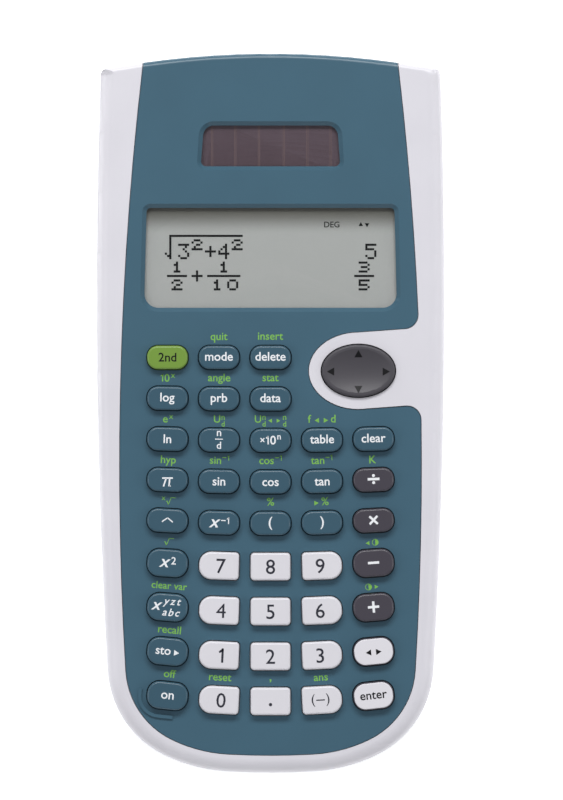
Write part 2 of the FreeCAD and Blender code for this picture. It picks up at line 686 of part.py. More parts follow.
def make_front_frame():
    """The white frame: rails, rim and island, with the cavity below and six screw bosses."""
    wall, ledge = size("Sizes.wall"), size("Sizes.ledge_width")
    floor, line = size("Derived.ledge_under"), size("Derived.part_line")
    under, top = size("Derived.plate_under"), size("Derived.front_top")
    inner = Part.Wire([arc.toShape() for arc in case_arcs(wall)])
    cavity = shape_object("front_cavity", prism(inner, line - 1, floor))
    lower = plate_region(-ledge, floor - 1, under).common(prism(inner, floor - 1, under))
    lower_opening = shape_object("front_lower_opening", lower)
    upper_opening = shape_object(
        "front_upper_opening", plate_region(size("Sizes.plate_seam"), under, top + 1)
    )
    pad_hole = shape_object("pad_hole", pad_ellipse(size("Sizes.pad_gap"), floor - 1, top + 1))
    room = size("Derived.pad_flange_top + Sizes.pad_flange_gap")
    spread = size("Sizes.flange_width + 2 * Sizes.pad_gap")
    pad_room = shape_object("pad_room", pad_ellipse(spread, floor - 1, room))
    hollow = cut(
        "front_shell",
        front_blank("front_blank", "Derived.front_top"),
        [cavity, lower_opening, upper_opening, pad_hole, pad_room],
    )
    bosses, pilots = [], []
    for number, place in enumerate(screw_places(), start=1):
        base = at(place, "Derived.part_line")
        bosses.append(
            part_object(
                "Cylinder",
                f"front_boss_{number}",
                base,
                Radius="Sizes.boss_radius",
                Height="Derived.ledge_under - Derived.part_line",
            )
        )
        pilots.append(
            part_object(
                "Cylinder",
                f"front_pilot_{number}",
                base,
                Radius="Sizes.screw_radius",
                Height="Sizes.screw_bite",
            )
        )
    return cut("front_frame", fused("front_body", [hollow] + bosses), pilots)


def make_rear_cover():
    """The rear cover: floor, wall, screw bosses, countersunk holes and seats for the feet."""
    body = new_body("rear_shell")
    outline = flat_sketch(body, "rear_outline", "Sizes.foot_height")
    add_case_outline(outline, "0")
    add_feature(body, "Pad", "rear_pad", outline, "Sizes.rear_depth")
    corner = lambda edge: is_upright(edge) and on_display_end(edge)
    round_edges(body, "rear_corners", corner, "Sizes.end_corner_radius")
    low = size("Sizes.foot_height")
    reach = "min(Sizes.back_edge_radius; Sizes.end_corner_radius - 0.1)"
    round_edges(body, "rear_edge", lambda edge: lies_at(edge, low), reach)
    cavity = flat_sketch(body, "rear_cavity", "Derived.part_line")
    add_case_outline(cavity, "Sizes.wall")
    add_feature(body, "Pocket", "rear_pocket", cavity, "Sizes.rear_depth - Sizes.rear_floor")
    bosses, holes = [], []
    for number, place in enumerate(screw_places(), start=1):
        bosses.append(
            part_object(
                "Cylinder",
                f"rear_boss_{number}",
                at(place, "Sizes.foot_height + Sizes.rear_floor / 2"),
                Radius="Sizes.boss_radius",
                Height="Sizes.rear_depth - Sizes.rear_floor / 2",
            )
        )
        holes.append(
            part_object(
                "Cylinder",
                f"rear_hole_{number}",
                at(place, "0"),
                Radius="Sizes.screw_radius + Sizes.hole_gap",
                Height="Derived.part_line + 1",
            )
        )
        holes.append(
            part_object(
                "Cylinder",
                f"rear_sink_{number}",
                at(place, "0"),
                Radius="Sizes.screw_head_radius + Sizes.hole_gap",
                Height="Derived.screw_seat",
            )
        )
    for number, place in enumerate(foot_places(), start=1):
        holes.append(
            part_object(
                "Cylinder",
                f"foot_seat_{number}",
                at(place, "0"),
                Radius="Sizes.foot_radius + Sizes.foot_gap",
                Height="Sizes.foot_height + Sizes.foot_recess",
            )
        )
    return cut("rear_cover", fused("rear_body", [body] + bosses), holes)


def window_wire(kind, spread):
    """Outline of the display or the solar opening in place, grown by the spread."""
    height = size(f"Sizes.{kind}_height") / 2 + spread
    lower = size(f"Sizes.{kind}_width") / 2 + spread
    upper = lower - size(f"Sizes.{kind}_taper") / 2
    corners = [
        Vector(-lower, -height, 0),
        Vector(lower, -height, 0),
        Vector(upper, height, 0),
        Vector(-upper, height, 0),
    ]
    low = max(size(f"Sizes.{kind}_corner") + spread, 0.2)
    high = max(size(f"Sizes.{kind}_top_corner") + spread, 0.2)
    wire = rounded_outline(corners, [low, low, high, high])
    wire.translate(Vector(0, size(f"Derived.{kind}_y + Sizes.{kind}_height / 2"), 0))
    return wire


def window_opening(kind):
    """The tool that opens the faceplate for a window: seat, opening and sloped edge."""
    under, top = size("Derived.plate_under"), size("Derived.plate_top")
    seat_top, bevel = size("Derived.window_top"), size("Sizes.window_bevel")
    lap = size("Sizes.window_lap + Sizes.window_gap")
    seat = prism(window_wire(kind, lap), under - 1, seat_top)
    opening = prism(window_wire(kind, 0), under - 1, top + 1)
    low_wire = window_wire(kind, 0)
    low_wire.translate(Vector(0, 0, seat_top))
    high_wire = window_wire(kind, bevel)
    high_wire.translate(Vector(0, 0, top))
    slope = Part.makeLoft([low_wire, high_wire], True, True)
    return shape_object(f"{kind}_opening", seat.fuse([opening, slope]))


def make_guard():
    """The low rib round the lower left of the on key."""
    row, column = len(KEY_ROWS) - 1, 0
    near = size("Sizes.key_gap + Sizes.guard_gap")
    far = near + size("Sizes.guard_width")
    bottom, top = size("Derived.plate_top - Sizes.guard_root"), size("Derived.plate_top + Sizes.guard_rise")
    ring = prism(key_wire(row, column, far), bottom, top)
    ring = ring.cut(prism(key_wire(row, column, near), bottom - 1, top + 1))
    reach = size("Sizes.key_width") / 2 + far
    down = size("Sizes.tall_key_height") / 2 + far
    quarter = Part.makeBox(reach * (1 + size("Sizes.guard_reach")), down + 1, top, Vector(-reach, -down, 0))
    quarter.Placement = key_place(row, column).multiply(quarter.Placement)
    return shape_object("on_guard", ring.common(quarter))


def make_faceplate():
    """The blue plate: openings for keys and windows, board pins and the on key's guard."""
    under, top = size("Derived.plate_under"), size("Derived.plate_top")
    region = shape_object("plate_region", plate_region(0, under, top))
    blank = common("plate_blank", front_blank("plate_form", "Derived.plate_top"), region)
    gap = size("Sizes.key_gap")
    holes = [
        shape_object(label + "_hole", prism(key_wire(row, column, gap), under - 1, top + 1))
        for label, row, column in all_keys()
    ]
    openings = holes + [window_opening("display"), window_opening("solar")]
    open_plate = cut("open_plate", blank, openings)
    pins = []
    for number, place in enumerate(pin_places(), start=1):
        pins.append(
            part_object(
                "Cylinder",
                f"pin_{number}",
                at(place, "Derived.board_under"),
                Radius="Sizes.pin_radius",
                Height="Derived.plate_under - Derived.board_under",
            )
        )
        pins.append(
            part_object(
                "Cylinder",
                f"pin_head_{number}",
                at(place, "Derived.board_under - Sizes.pin_head_height"),
                Radius="Sizes.pin_head_radius",
                Height="Sizes.pin_head_height",
            )
        )
    return fused("faceplate", [open_plate, make_guard()] + pins)


# Pieces under the faceplate --------------------------------------------------------------------


def make_window(label, kind):
    """A clear pane in its seat under the faceplate."""
    wire = window_wire(kind, size("Sizes.window_lap"))
    return shape_object(label, prism(wire, size("Derived.plate_under"), size("Derived.window_top")))


def make_key_mat():
    """The silicone mat: one sheet with a dome under every key and four under the pad."""
    body = new_body("mat_sheet")
    upper_end = "(Derived.display_y - Sizes.window_lap - Sizes.window_bevel)"
    lower_end = "(Derived.first_row_y - Derived.rows_length - Sizes.tall_key_height)"
    sheet_plan = flat_sketch(body, "mat_plan", "Derived.board_top")
    add_rectangle(sheet_plan, "2 * Derived.mat_half", f"{upper_end} - {lower_end}")
    add_feature(body, "Pad", "mat_pad", sheet_plan, "Sizes.mat_thickness")
    low = lambda edge: is_upright(edge) and edge.CenterOfMass.y < 0
    round_edges(body, "mat_corners", low, "Sizes.board_corner")
    body.Placement.Base.y = size(f"({upper_end} + {lower_end}) / 2")
    places = [key_place(row, column).Base for _, row, column in all_keys()]
    pad = Vector(size("Derived.pad_x"), size("Derived.pad_y"), 0)
    inset = size("Sizes.dome_top_radius - Sizes.flange_width")
    across = size("Sizes.pad_width") / 2 - inset
    deep = size("Sizes.pad_depth") / 2 - inset
    steps = [(-across, 0), (across, 0), (0, -deep), (0, deep)]
    places += [pad + Vector(dx, dy, 0) for dx, dy in steps]
    domes = [
        part_object(
            "Cone",
            f"dome_{number}",
            at(place, "Derived.mat_top"),
            Radius1="Sizes.dome_radius",
            Radius2="Sizes.dome_top_radius",
            Height="Sizes.dome_height",
        )
        for number, place in enumerate(places, start=1)
    ]
    return cut("key_mat", fused("mat_domes", [body] + domes), pin_holes("mat"))


def pin_holes(name):
    """Tools that clear the faceplate's pins."""
    return [
        part_object(
            "Cylinder",
            f"{name}_pin_hole_{number}",
            at(place, "Derived.board_under - Sizes.board_thickness"),
            Radius="Sizes.pin_radius + Sizes.pin_gap",
            Height="Derived.plate_under - Derived.board_under",
        )
        for number, place in enumerate(pin_places(), start=1)
    ]


def make_circuit_board():
    """The board: from under the last row to just short of the solar cell."""
    body = new_body("board_blank")
    upper_end = "(Derived.solar_y - Sizes.cell_border - Sizes.lead_bend)"
    lower_end = "(Derived.first_row_y - Derived.rows_length - Sizes.tall_key_height)"
    plan = flat_sketch(body, "board_plan", "Derived.board_under")
    add_rectangle(plan, "2 * Derived.board_half", f"{upper_end} - {lower_end}")
    add_feature(body, "Pad", "board_pad", plan, "Sizes.board_thickness")
    low = lambda edge: is_upright(edge) and edge.CenterOfMass.y < 0
    round_edges(body, "board_corners", low, "Sizes.board_corner")
    body.Placement.Base.y = size(f"({upper_end} + {lower_end}) / 2")
    return cut("circuit_board", body, pin_holes("board"))


def make_nav_pad():
    """The direction pad: a dished oval rocker with a flange below the frame."""
    bottom, top = size("Derived.dome_top"), size("Derived.pad_top")
    body = pad_ellipse(0, bottom, top)
    rim = [edge for edge in body.Edges if lies_at(edge, top)]
    body = body.makeFillet(size("Sizes.key_crown"), rim)
    flange = pad_ellipse(size("Sizes.flange_width"), bottom, size("Derived.pad_flange_top"))
    solid = shape_object("pad_body", body.fuse(flange))
    dish = part_object(
        "Ellipsoid",
        "pad_dish",
        Vector(size("Derived.pad_x"), size("Derived.pad_y"), top + size("Sizes.dish_form - Sizes.pad_dish")),
        Radius1="Sizes.dish_form",
        Radius2="Derived.dish_spread * (Sizes.pad_width / 2 - Sizes.pad_rim)",
        Radius3="Derived.dish_spread * (Sizes.pad_depth / 2 - Sizes.pad_rim)",
    )
    return cut("nav_pad", solid, [dish])


def make_nav_pivot():
    """The half-round rubber nub on the mat that the direction pad rocks on."""
    nub = part_object(
        "Sphere",
        "nav_pivot",
        Vector(size("Derived.pad_x"), size("Derived.pad_y"), size("Derived.mat_top")),
        Radius="Sizes.dome_height",
    )
    nub.Angle1 = 0


def make_lcd():
    """The display glass, its holder and the rubber contact strip down to the board."""
    border, rim = size("Sizes.lcd_border"), size("Sizes.lcd_frame_rim")
    top, glass_under = size("Derived.plate_under"), size("Derived.lcd_under")
    under = size("Derived.lcd_frame_under")
    glass = prism(window_wire("display", border), glass_under, top)
    shape_object("lcd_panel", glass)
    holder = prism(window_wire("display", rim), under, top).cut(
        prism(window_wire("display", border), glass_under, top + 1)
    )
    strip_place = Vector(
        -size("Sizes.strip_width") / 2,
        size("Derived.display_y + Sizes.strip_depth"),
        size("Derived.board_top"),
    )
    strip = part_object(
        "Box",
        "lcd_connector",
        strip_place,
        Length="Sizes.strip_width",
        Width="Sizes.strip_depth",
        Height="Derived.lcd_under - Derived.board_top",
    )
    cut("lcd_frame", shape_object("lcd_holder", holder), [strip])


def make_solar():
    """The solar cell under its pane and its two wires to the board."""
    under, bend = size("Derived.cell_under"), size("Sizes.lead_bend")
    wire = window_wire("solar", size("Sizes.cell_border"))
    shape_object("solar_cell", prism(wire, under, size("Derived.plate_under")))
    level = size("Derived.board_top + Sizes.lead_radius")
    leads = []
    for number, side in enumerate((-1, 1), start=1):
        x = side * size("Sizes.lead_spread") / 2
        start = Vector(x, size("Derived.solar_y"), under)
        turn_start = Vector(x, start.y, level + bend)
        turn_end = Vector(x, start.y - bend, level)
        finish = turn_end - Vector(0, size("Sizes.solar_height") / 2, 0)
        drop = Part.LineSegment(start, turn_start).toShape()
        arc = arc_between(Vector(x, start.y - bend, level + bend), turn_start, turn_end).toShape()
        run = Part.LineSegment(turn_end, finish).toShape()
        path = shape_object(f"lead_path_{number}", Part.Wire([drop, arc, run]))
        section = part_object("Circle", f"lead_section_{number}", start, Radius="Sizes.lead_radius")
        sweep = doc.addObject("Part::Sweep", f"lead_{number}")
        sweep.Sections = [section]
        sweep.Spine = (path, ["Edge1", "Edge2", "Edge3"])
        sweep.Solid = True
        sweep.Transition = "Right corner"
        leads.append(sweep)
    compound("solar_leads", leads)


def compound(label, items):
    """Several equal loose pieces as one sub-part."""
    item = doc.addObject("Part::Compound", label)
    item.Label = label
    item.Links = items
    return item


def make_battery():
    """The coin cell under the board with its strap and its upper contact."""
    y = size("Derived.display_y + Sizes.display_height / 2")
    middle = Vector(0, y, 0)
    part_object(
        "Cylinder",
        "battery",
        at(middle, "Derived.battery_under"),
        Radius="Sizes.battery_radius",
        Height="Sizes.battery_height",
    )
    half = size("Sizes.contact_width") / 2
    reach = size("Sizes.battery_radius")
    thick = size("Sizes.contact_thickness")
    upper = part_object(
        "Box",
        "upper_contact",
        Vector(-half, y - reach, size("Derived.battery_top")),
        Length="Sizes.contact_width",
        Width="2 * Sizes.battery_radius",
        Height="Sizes.contact_thickness",
    )
    strap = part_object(
        "Box",
        "strap",
        Vector(-half, y - reach - thick, size("Derived.battery_under") - thick),
        Length="Sizes.contact_width",
        Width="2 * Sizes.battery_radius + 2 * Sizes.contact_thickness",
        Height="Sizes.contact_thickness",
    )
    legs = [
        part_object(
            "Box",
            f"strap_leg_{number}",
            Vector(-half, start, size("Derived.battery_under") - thick),
            Length="Sizes.contact_width",
            Width="Sizes.contact_thickness",
            Height="Derived.board_under - Derived.battery_under + Sizes.contact_thickness",
        )
        for number, start in enumerate((y - reach - thick, y + reach), start=1)
    ]
    fused("battery_contacts", [upper, strap] + legs)


def make_chip_blob():
    """The drop of black resin that seals the chip under the board."""
    part_object(
        "Cone",
        "chip_blob",
        Vector(0, size("Derived.first_row_y"), size("Derived.board_under - Sizes.blob_height")),
        Radius1="Sizes.blob_radius - Sizes.blob_height",
        Radius2="Sizes.blob_radius",
        Height="Sizes.blob_height",
    )


def make_case_screws():
    """Six screws: a cross-slotted head in its seat and a shank up into the front frame."""
    screws = []
    for number, place in enumerate(screw_places(), start=1):
        head = part_object(
            "Cylinder",
            f"screw_head_{number}",
            at(place, "Sizes.foot_height + Sizes.screw_sink"),
            Radius="Sizes.screw_head_radius",
            Height="Sizes.screw_head_height",
        )
        shank = part_object(
            "Cylinder",
            f"screw_shank_{number}",
            at(place, "Derived.screw_seat"),
            Radius="Sizes.screw_radius",
            Height="Derived.part_line + Sizes.screw_bite - Derived.screw_seat",
        )
        slots = []
        for turn, name in ((0, "a"), (90, "b")):
            slot = part_object(
                "Box",
                f"screw_slot_{number}_{name}",
                Length="Sizes.slot_length",
                Width="Sizes.slot_width",
                Height="Sizes.screw_head_height / 2",
            )
            middle = Vector(size("Sizes.slot_length"), size("Sizes.slot_width"), 0) * 0.5
            spin = Rotation(Vector(0, 0, 1), turn)
            base = at(place, "Sizes.foot_height + Sizes.screw_sink")
            slot.Placement = Placement(base - spin.multVec(middle), spin)
            slots.append(slot)
        screws.append(cut(f"screw_{number}", fused(f"screw_body_{number}", [head, shank]), slots))
    compound("case_screws", screws)


def make_rubber_feet():
    """Four round rubber feet in their seats."""
    feet = []
    for number, place in enumerate(foot_places(), start=1):
        disc = part_object(
            "Cylinder",
            f"foot_disc_{number}",
            at(place, "0"),
            Radius="Sizes.foot_radius",
            Height="Sizes.foot_height + Sizes.foot_recess",
        )
        feet.append(disc)
    compound("rubber_feet", feet)


# Building and writing --------------------------------------------------------------------------

SUB_PARTS = [label for label, _, _ in all_keys()] + [
    "nav_pad",
    "nav_pivot",
    "front_frame",
    "faceplate",
    "rear_cover",
    "display_window",
    "solar_window",
    "lcd_panel",
    "lcd_frame",
    "lcd_connector",
    "circuit_board",
    "key_mat",
    "battery",
    "battery_contacts",
    "chip_blob",
    "solar_cell",
    "solar_leads",
    "case_screws",
    "rubber_feet",
]


def build():
    """Make every sub-part."""
    make_front_frame()
    make_rear_cover()
    make_faceplate()
    make_window("display_window", "display")
    make_window("solar_window", "solar")
    make_key_mat()
    make_circuit_board()
    make_nav_pad()
    make_nav_pivot()
    make_lcd()
    make_solar()
    make_battery()
    make_chip_blob()
    make_case_screws()
    make_rubber_feet()
    for label, row, column in all_keys():
        make_key(label, row, column)
    doc.recompute()


def check(item):
    """Stop when an object of the document failed to build."""
    if "Invalid" in item.State or "Error" in item.State:
        raise RuntimeError(f"{item.Label} failed: {item.State}")


def write_parts():
    """Check every sub-part's shape and write it to its own file."""
    os.makedirs("parts", exist_ok=True)
    for label in SUB_PARTS:
        found = [item for item in doc.Objects if item.Label == label]
        if len(found) != 1:
            raise RuntimeError(f"{label}: {len(found)} objects carry this label")
        shape = found[0].Shape
        if shape.isNull() or not shape.isValid() or not shape.Solids:
            raise RuntimeError(f"{label} has no valid solid")
        shape.exportStep(f"parts/{label}.step")


build()
for item in doc.Objects:
    check(item)
write_parts()
print(f"{len(SUB_PARTS)} sub-parts written")
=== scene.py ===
# %% [markdown]
# # A pocket scientific calculator
# The solid model of the calculator is already finished: shell, faceplate, keys, windows and everything
# inside. This lesson gives it its looks: plastics, glass and rubber, the printed legends, the dots on the
# display and a small studio to look at it in. The solid model is loaded first and is never reshaped.

# %% Load the solid model
import math
import bpy
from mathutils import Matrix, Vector


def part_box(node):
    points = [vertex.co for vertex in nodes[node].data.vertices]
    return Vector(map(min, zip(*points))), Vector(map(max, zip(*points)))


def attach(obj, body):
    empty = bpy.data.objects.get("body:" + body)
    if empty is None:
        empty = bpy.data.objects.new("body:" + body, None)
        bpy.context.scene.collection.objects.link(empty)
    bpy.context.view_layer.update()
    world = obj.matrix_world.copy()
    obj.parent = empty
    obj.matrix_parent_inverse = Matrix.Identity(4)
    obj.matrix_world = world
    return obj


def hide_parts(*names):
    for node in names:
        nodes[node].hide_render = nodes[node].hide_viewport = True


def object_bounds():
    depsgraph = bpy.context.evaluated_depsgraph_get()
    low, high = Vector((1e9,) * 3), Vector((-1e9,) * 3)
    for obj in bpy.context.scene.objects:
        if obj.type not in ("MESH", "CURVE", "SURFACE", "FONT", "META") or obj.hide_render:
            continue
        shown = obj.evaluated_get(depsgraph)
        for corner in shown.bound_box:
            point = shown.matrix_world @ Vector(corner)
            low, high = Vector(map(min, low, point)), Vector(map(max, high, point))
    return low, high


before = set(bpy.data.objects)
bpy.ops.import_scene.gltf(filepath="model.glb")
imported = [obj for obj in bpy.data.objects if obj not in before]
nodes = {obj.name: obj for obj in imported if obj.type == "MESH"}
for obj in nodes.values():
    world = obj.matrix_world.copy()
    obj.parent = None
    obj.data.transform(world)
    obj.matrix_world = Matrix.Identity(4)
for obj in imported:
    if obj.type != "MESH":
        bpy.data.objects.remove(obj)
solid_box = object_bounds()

MM = 0.001
print(len(nodes), "solid pieces, box in mm:", [[round(c / MM, 2) for c in corner] for corner in solid_box])

# %% [markdown]
# ## Where the keys are
# Every key's middle is read from its own piece of the solid model, so a legend can never miss its key.
# The rows bow a little towards the case's lower end at both sides: their middles lie on a shallow parabola
# y = k x², so a key at x is turned by the angle whose tangent is 2 k x. The legends take the same turn.

# %% Read the key places
KEY_ROWS = [
    ["key_2nd", "key_mode", "key_delete"],
    ["key_log", "key_prb", "key_data"],
    ["key_ln", "key_fraction", "key_exponent", "key_table", "key_clear"],
    ["key_pi", "key_sin", "key_cos", "key_tan", "key_divide"],
    ["key_power", "key_inverse", "key_open_paren", "key_close_paren", "key_multiply"],
    ["key_square", "key_7", "key_8", "key_9", "key_subtract"],
    ["key_variable", "key_4", "key_5", "key_6", "key_add"],
    ["key_store", "key_1", "key_2", "key_3", "key_toggle"],
    ["key_on", "key_0", "key_point", "key_negate", "key_enter"],
]


def middle(name):
    """The middle of a solid piece's box."""
    low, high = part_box(name)
    return (low + high) / 2


key_spots = {}
for row in KEY_ROWS:
    first, centre = middle(row[0]), middle(row[2])
    bow = (first.y - centre.y) / (first.x - centre.x) ** 2
    for name in row:
        place = middle(name)
        key_spots[name] = (place.x, place.y, math.atan(2 * bow * (place.x - centre.x)))
KEY_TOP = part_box("key_5")[1].z
PLATE_TOP = 15.5 * MM
print("key tops at", round(KEY_TOP / MM, 2), "mm")
print("outer keys turned", round(math.degrees(key_spots["key_on"][2]), 2), "degrees")

# %% [markdown]
# ## Small tools for the shop
# Three helpers do most of the work. `linear` turns the hex colours that people write into the linear light
# values that the renderer counts in. `add_node` adds one shader node with its settings and links, so a
# material can be read as a list of nodes. `new_material` starts a material with its surface shader.

# %% Helpers for colours and nodes


def linear(code):
    """Turn an sRGB hex colour into linear light values."""
    shares = [int(code[i : i + 2], 16) / 255 for i in (1, 3, 5)]
    return tuple(s / 12.92 if s <= 0.04045 else ((s + 0.055) / 1.055) ** 2.4 for s in shares) + (1.0,)


def add_node(material, kind, inputs=None, **settings):
    """Add one node. Inputs are values or the sockets that feed it, and settings are its own choices."""
    node = material.node_tree.nodes.new(kind)
    for key, value in settings.items():
        setattr(node, key, value)
    for key, value in (inputs or {}).items():
        if isinstance(value, bpy.types.NodeSocket):
            material.node_tree.links.new(value, node.inputs[key])
        else:
            node.inputs[key].default_value = value
    return node


def new_material(name):
    """An empty node material and its output node."""
    material = bpy.data.materials.new(name)
    material.use_nodes = True
    material.node_tree.nodes.clear()
    return material, add_node(material, "ShaderNodeOutputMaterial")


def connect(material, source, target, socket):
    """Link a socket to a named input."""
    material.node_tree.links.new(source, target.inputs[socket])


# %% [markdown]
# ## Moulded plastic
# Nearly all of the outside is injection-moulded ABS. The steel mould was spark-eroded, which leaves a very
# fine satin grain, about 0.2 mm across. A grain could be a picture, but noise on object coordinates needs
# no unwrapping and has a true scale in millimetres. Two noises are used: a wide one for the slight
# cloudiness of the pigment, and a fine one for the grain, which goes to the bump and to the roughness.

# %% A function for moulded plastic


def moulded_plastic(name, main, shade, rough=0.4, grain=0.22, depth=0.012, cloud=14.0, ior=1.54, specular=0.5):
    """Satin moulded plastic: main and shade colours, grain and cloud widths in mm, grain depth in mm."""
    material, output = new_material(name)
    spot = add_node(material, "ShaderNodeTexCoord").outputs["Object"]
    clouds = add_node(material, "ShaderNodeTexNoise", {"Vector": spot, "Scale": 1 / (cloud * MM), "Detail": 3.0})
    pigment = add_node(
        material, "ShaderNodeMix", {"Factor": clouds.outputs["Fac"], 6: linear(main), 7: linear(shade)},
        data_type="RGBA",
    )
    grains = add_node(material, "ShaderNodeTexNoise", {"Vector": spot, "Scale": 1 / (grain * MM), "Detail": 2.0})
    gloss = add_node(
        material, "ShaderNodeMapRange",
        {"Value": grains.outputs["Fac"], "To Min": rough - 0.06, "To Max": rough + 0.06},
    )
    bump = add_node(
        material, "ShaderNodeBump",
        {"Height": grains.outputs["Fac"], "Distance": depth * MM, "Strength": 0.6},
    )
    surface = add_node(
        material, "ShaderNodeBsdfPrincipled",
        {
            "Base Color": pigment.outputs[2], "Roughness": gloss.outputs["Result"],
            "Normal": bump.outputs["Normal"], "IOR": ior, "Specular IOR Level": specular,
        },
    )
    connect(material, surface.outputs["BSDF"], output, "Surface")
    print("made", name)
    return material


# White ABS, satin: broad soft highlights and a faint cool cloudiness.
white_abs = moulded_plastic("white_ABS_satin_moulded", "#dcdae0", "#d3d1d7", rough=0.38)
# Blue-grey ABS, satin with a pearl pigment: a slightly tighter highlight along the rolled end.
blue_abs = moulded_plastic("blue_grey_ABS_pearl_moulded", "#3d6173", "#395b6c", rough=0.36, grain=0.2)
# Deep blue ABS, coarse spark-eroded texture that hides scratches on the back.
rear_abs = moulded_plastic("deep_blue_ABS_coarse_moulded", "#3c5363", "#37505f", rough=0.55, grain=0.45, depth=0.05)

# %% [markdown]
# ## Key caps
# The keys are moulded in their own colours. Their tops are smoother than the case because fingers polish
# them, so the grain is finer and the highlight along the rounded edge is brighter.

# %% Key plastics
white_cap = moulded_plastic("white_ABS_key_smooth_moulded", "#dddbe0", "#d6d4d9", rough=0.32, grain=0.15, depth=0.006)
blue_cap = moulded_plastic("slate_blue_ABS_key_moulded", "#365768", "#325262", rough=0.34, grain=0.15, depth=0.006)
dark_cap = moulded_plastic("charcoal_ABS_key_moulded", "#433f48", "#3f3b44", rough=0.34, grain=0.15, depth=0.006)
green_cap = moulded_plastic("leaf_green_ABS_key_moulded", "#75983b", "#6f9138", rough=0.34, grain=0.15, depth=0.006)
pad_plastic = moulded_plastic("charcoal_ABS_pad_polished", "#454248", "#3f3d43", rough=0.5, grain=0.12, depth=0.004)
black_abs = moulded_plastic("black_ABS_inner_moulded", "#222226", "#1b1b1e", rough=0.5, grain=0.3, depth=0.02)

# %% [markdown]
# Two keys, the toggle key and the enter key, are double-shot: a white top on a dark body. The body shows as
# a dark line all round the white. One material does both by height, because the change of plastic is a
# level step just under the flat top.

# %% Two-colour keys
two_shot, output = new_material("white_on_charcoal_ABS_double_shot")
spot = add_node(two_shot, "ShaderNodeTexCoord").outputs["Object"]
height = add_node(two_shot, "ShaderNodeSeparateXYZ", {"Vector": spot}).outputs["Z"]
is_top = add_node(
    two_shot, "ShaderNodeMapRange",
    {"Value": height, "From Min": KEY_TOP - 0.10 * MM, "From Max": KEY_TOP - 0.05 * MM},
)
grains = add_node(two_shot, "ShaderNodeTexNoise", {"Vector": spot, "Scale": 1 / (0.15 * MM), "Detail": 2.0})
pigment = add_node(
    two_shot, "ShaderNodeMix",
    {"Factor": is_top.outputs["Result"], 6: linear("#433f48"), 7: linear("#dddbe0")}, data_type="RGBA",
)
gloss = add_node(two_shot, "ShaderNodeMapRange", {"Value": grains.outputs["Fac"], "To Min": 0.28, "To Max": 0.38})
bump = add_node(
    two_shot, "ShaderNodeBump", {"Height": grains.outputs["Fac"], "Distance": 0.006 * MM, "Strength": 0.6}
)
surface = add_node(
    two_shot, "ShaderNodeBsdfPrincipled",
    {
        "Base Color": pigment.outputs[2], "Roughness": gloss.outputs["Result"],
        "Normal": bump.outputs["Normal"], "IOR": 1.54,
    },
)
connect(two_shot, surface.outputs["BSDF"], output, "Surface")
print("made", two_shot.name)

# %% [markdown]
# ## Windows
# The display and the solar cell lie under polished acrylic panes. A true glass shader bends light and needs
# many samples for so thin a pane. A clear coat over nothing reads the same: a transparent shader lets the
# view straight through, and a glossy one takes over by Fresnel, more at grazing angles. A faint wide noise
# on the roughness is the wipe marks every window carries.

# %% Acrylic panes


def acrylic_pane(name, tint):
    """A thin polished pane: clear straight on, and mirror-like at low angles."""
    material, output = new_material(name)
    spot = add_node(material, "ShaderNodeTexCoord").outputs["Object"]
    smears = add_node(material, "ShaderNodeTexNoise", {"Vector": spot, "Scale": 1 / (9 * MM), "Detail": 4.0})
    polish = add_node(
        material, "ShaderNodeMapRange", {"Value": smears.outputs["Fac"], "To Min": 0.03, "To Max": 0.09}
    )
    through = add_node(material, "ShaderNodeBsdfTransparent", {"Color": linear(tint)})
    mirror = add_node(material, "ShaderNodeBsdfGlossy", {"Roughness": polish.outputs["Result"]})
    fresnel = add_node(material, "ShaderNodeFresnel", {"IOR": 1.49})
    inside = add_node(material, "ShaderNodeNewGeometry").outputs["Backfacing"]
    outside = add_node(material, "ShaderNodeMath", {0: 1.0, 1: inside}, operation="SUBTRACT")
    share = add_node(
        material, "ShaderNodeMath", {0: fresnel.outputs["Fac"], 1: outside.outputs["Value"]}, operation="MULTIPLY"
    )
    both = add_node(
        material, "ShaderNodeMixShader",
        {0: share.outputs["Value"], 1: through.outputs["BSDF"], 2: mirror.outputs["BSDF"]},
    )
    connect(material, both.outputs["Shader"], output, "Surface")
    print("made", name)
    return material


# Clear acrylic, injection moulded and polished: nearly invisible straight on.
clear_acrylic = acrylic_pane("clear_acrylic_polished", "#f8faf9")
# Smoked acrylic: brown-grey, so the cell below looks darker and warmer.
smoked_acrylic = acrylic_pane("smoked_acrylic_polished", "#d8cfcc")

# %% [markdown]
# ## The display
# A dot-matrix display is two sheets of glass over a grey reflector. The reflector is a fine brushed foil,
# which gives a very weak sparkle, and the end under the plate's edge lies in the plate's shade. The soft
# lights alone leave that shade too weak, so a ramp of darker colour along the panel helps them.

# %% Display and solar cell
display_glass, output = new_material("grey_reflective_display_glass")
spot = add_node(display_glass, "ShaderNodeTexCoord").outputs["Object"]
along = add_node(display_glass, "ShaderNodeSeparateXYZ", {"Vector": spot}).outputs["Y"]
DISPLAY_EDGE = 49.5 * MM
shade = add_node(
    display_glass, "ShaderNodeMapRange",
    {"Value": along, "From Min": DISPLAY_EDGE - 6.5 * MM, "From Max": DISPLAY_EDGE - 0.5 * MM},
    interpolation_type="SMOOTHSTEP",
)
foil = add_node(display_glass, "ShaderNodeTexNoise", {"Vector": spot, "Scale": 1 / (0.3 * MM), "Detail": 3.0})
speckle = add_node(
    display_glass, "ShaderNodeMix",
    {"Factor": foil.outputs["Fac"], 6: linear("#b4b2b1"), 7: linear("#bebbbb")}, data_type="RGBA",
)
shaded = add_node(
    display_glass, "ShaderNodeMix",
    {"Factor": shade.outputs["Result"], 6: speckle.outputs[2], 7: linear("#6a6762")}, data_type="RGBA",
)
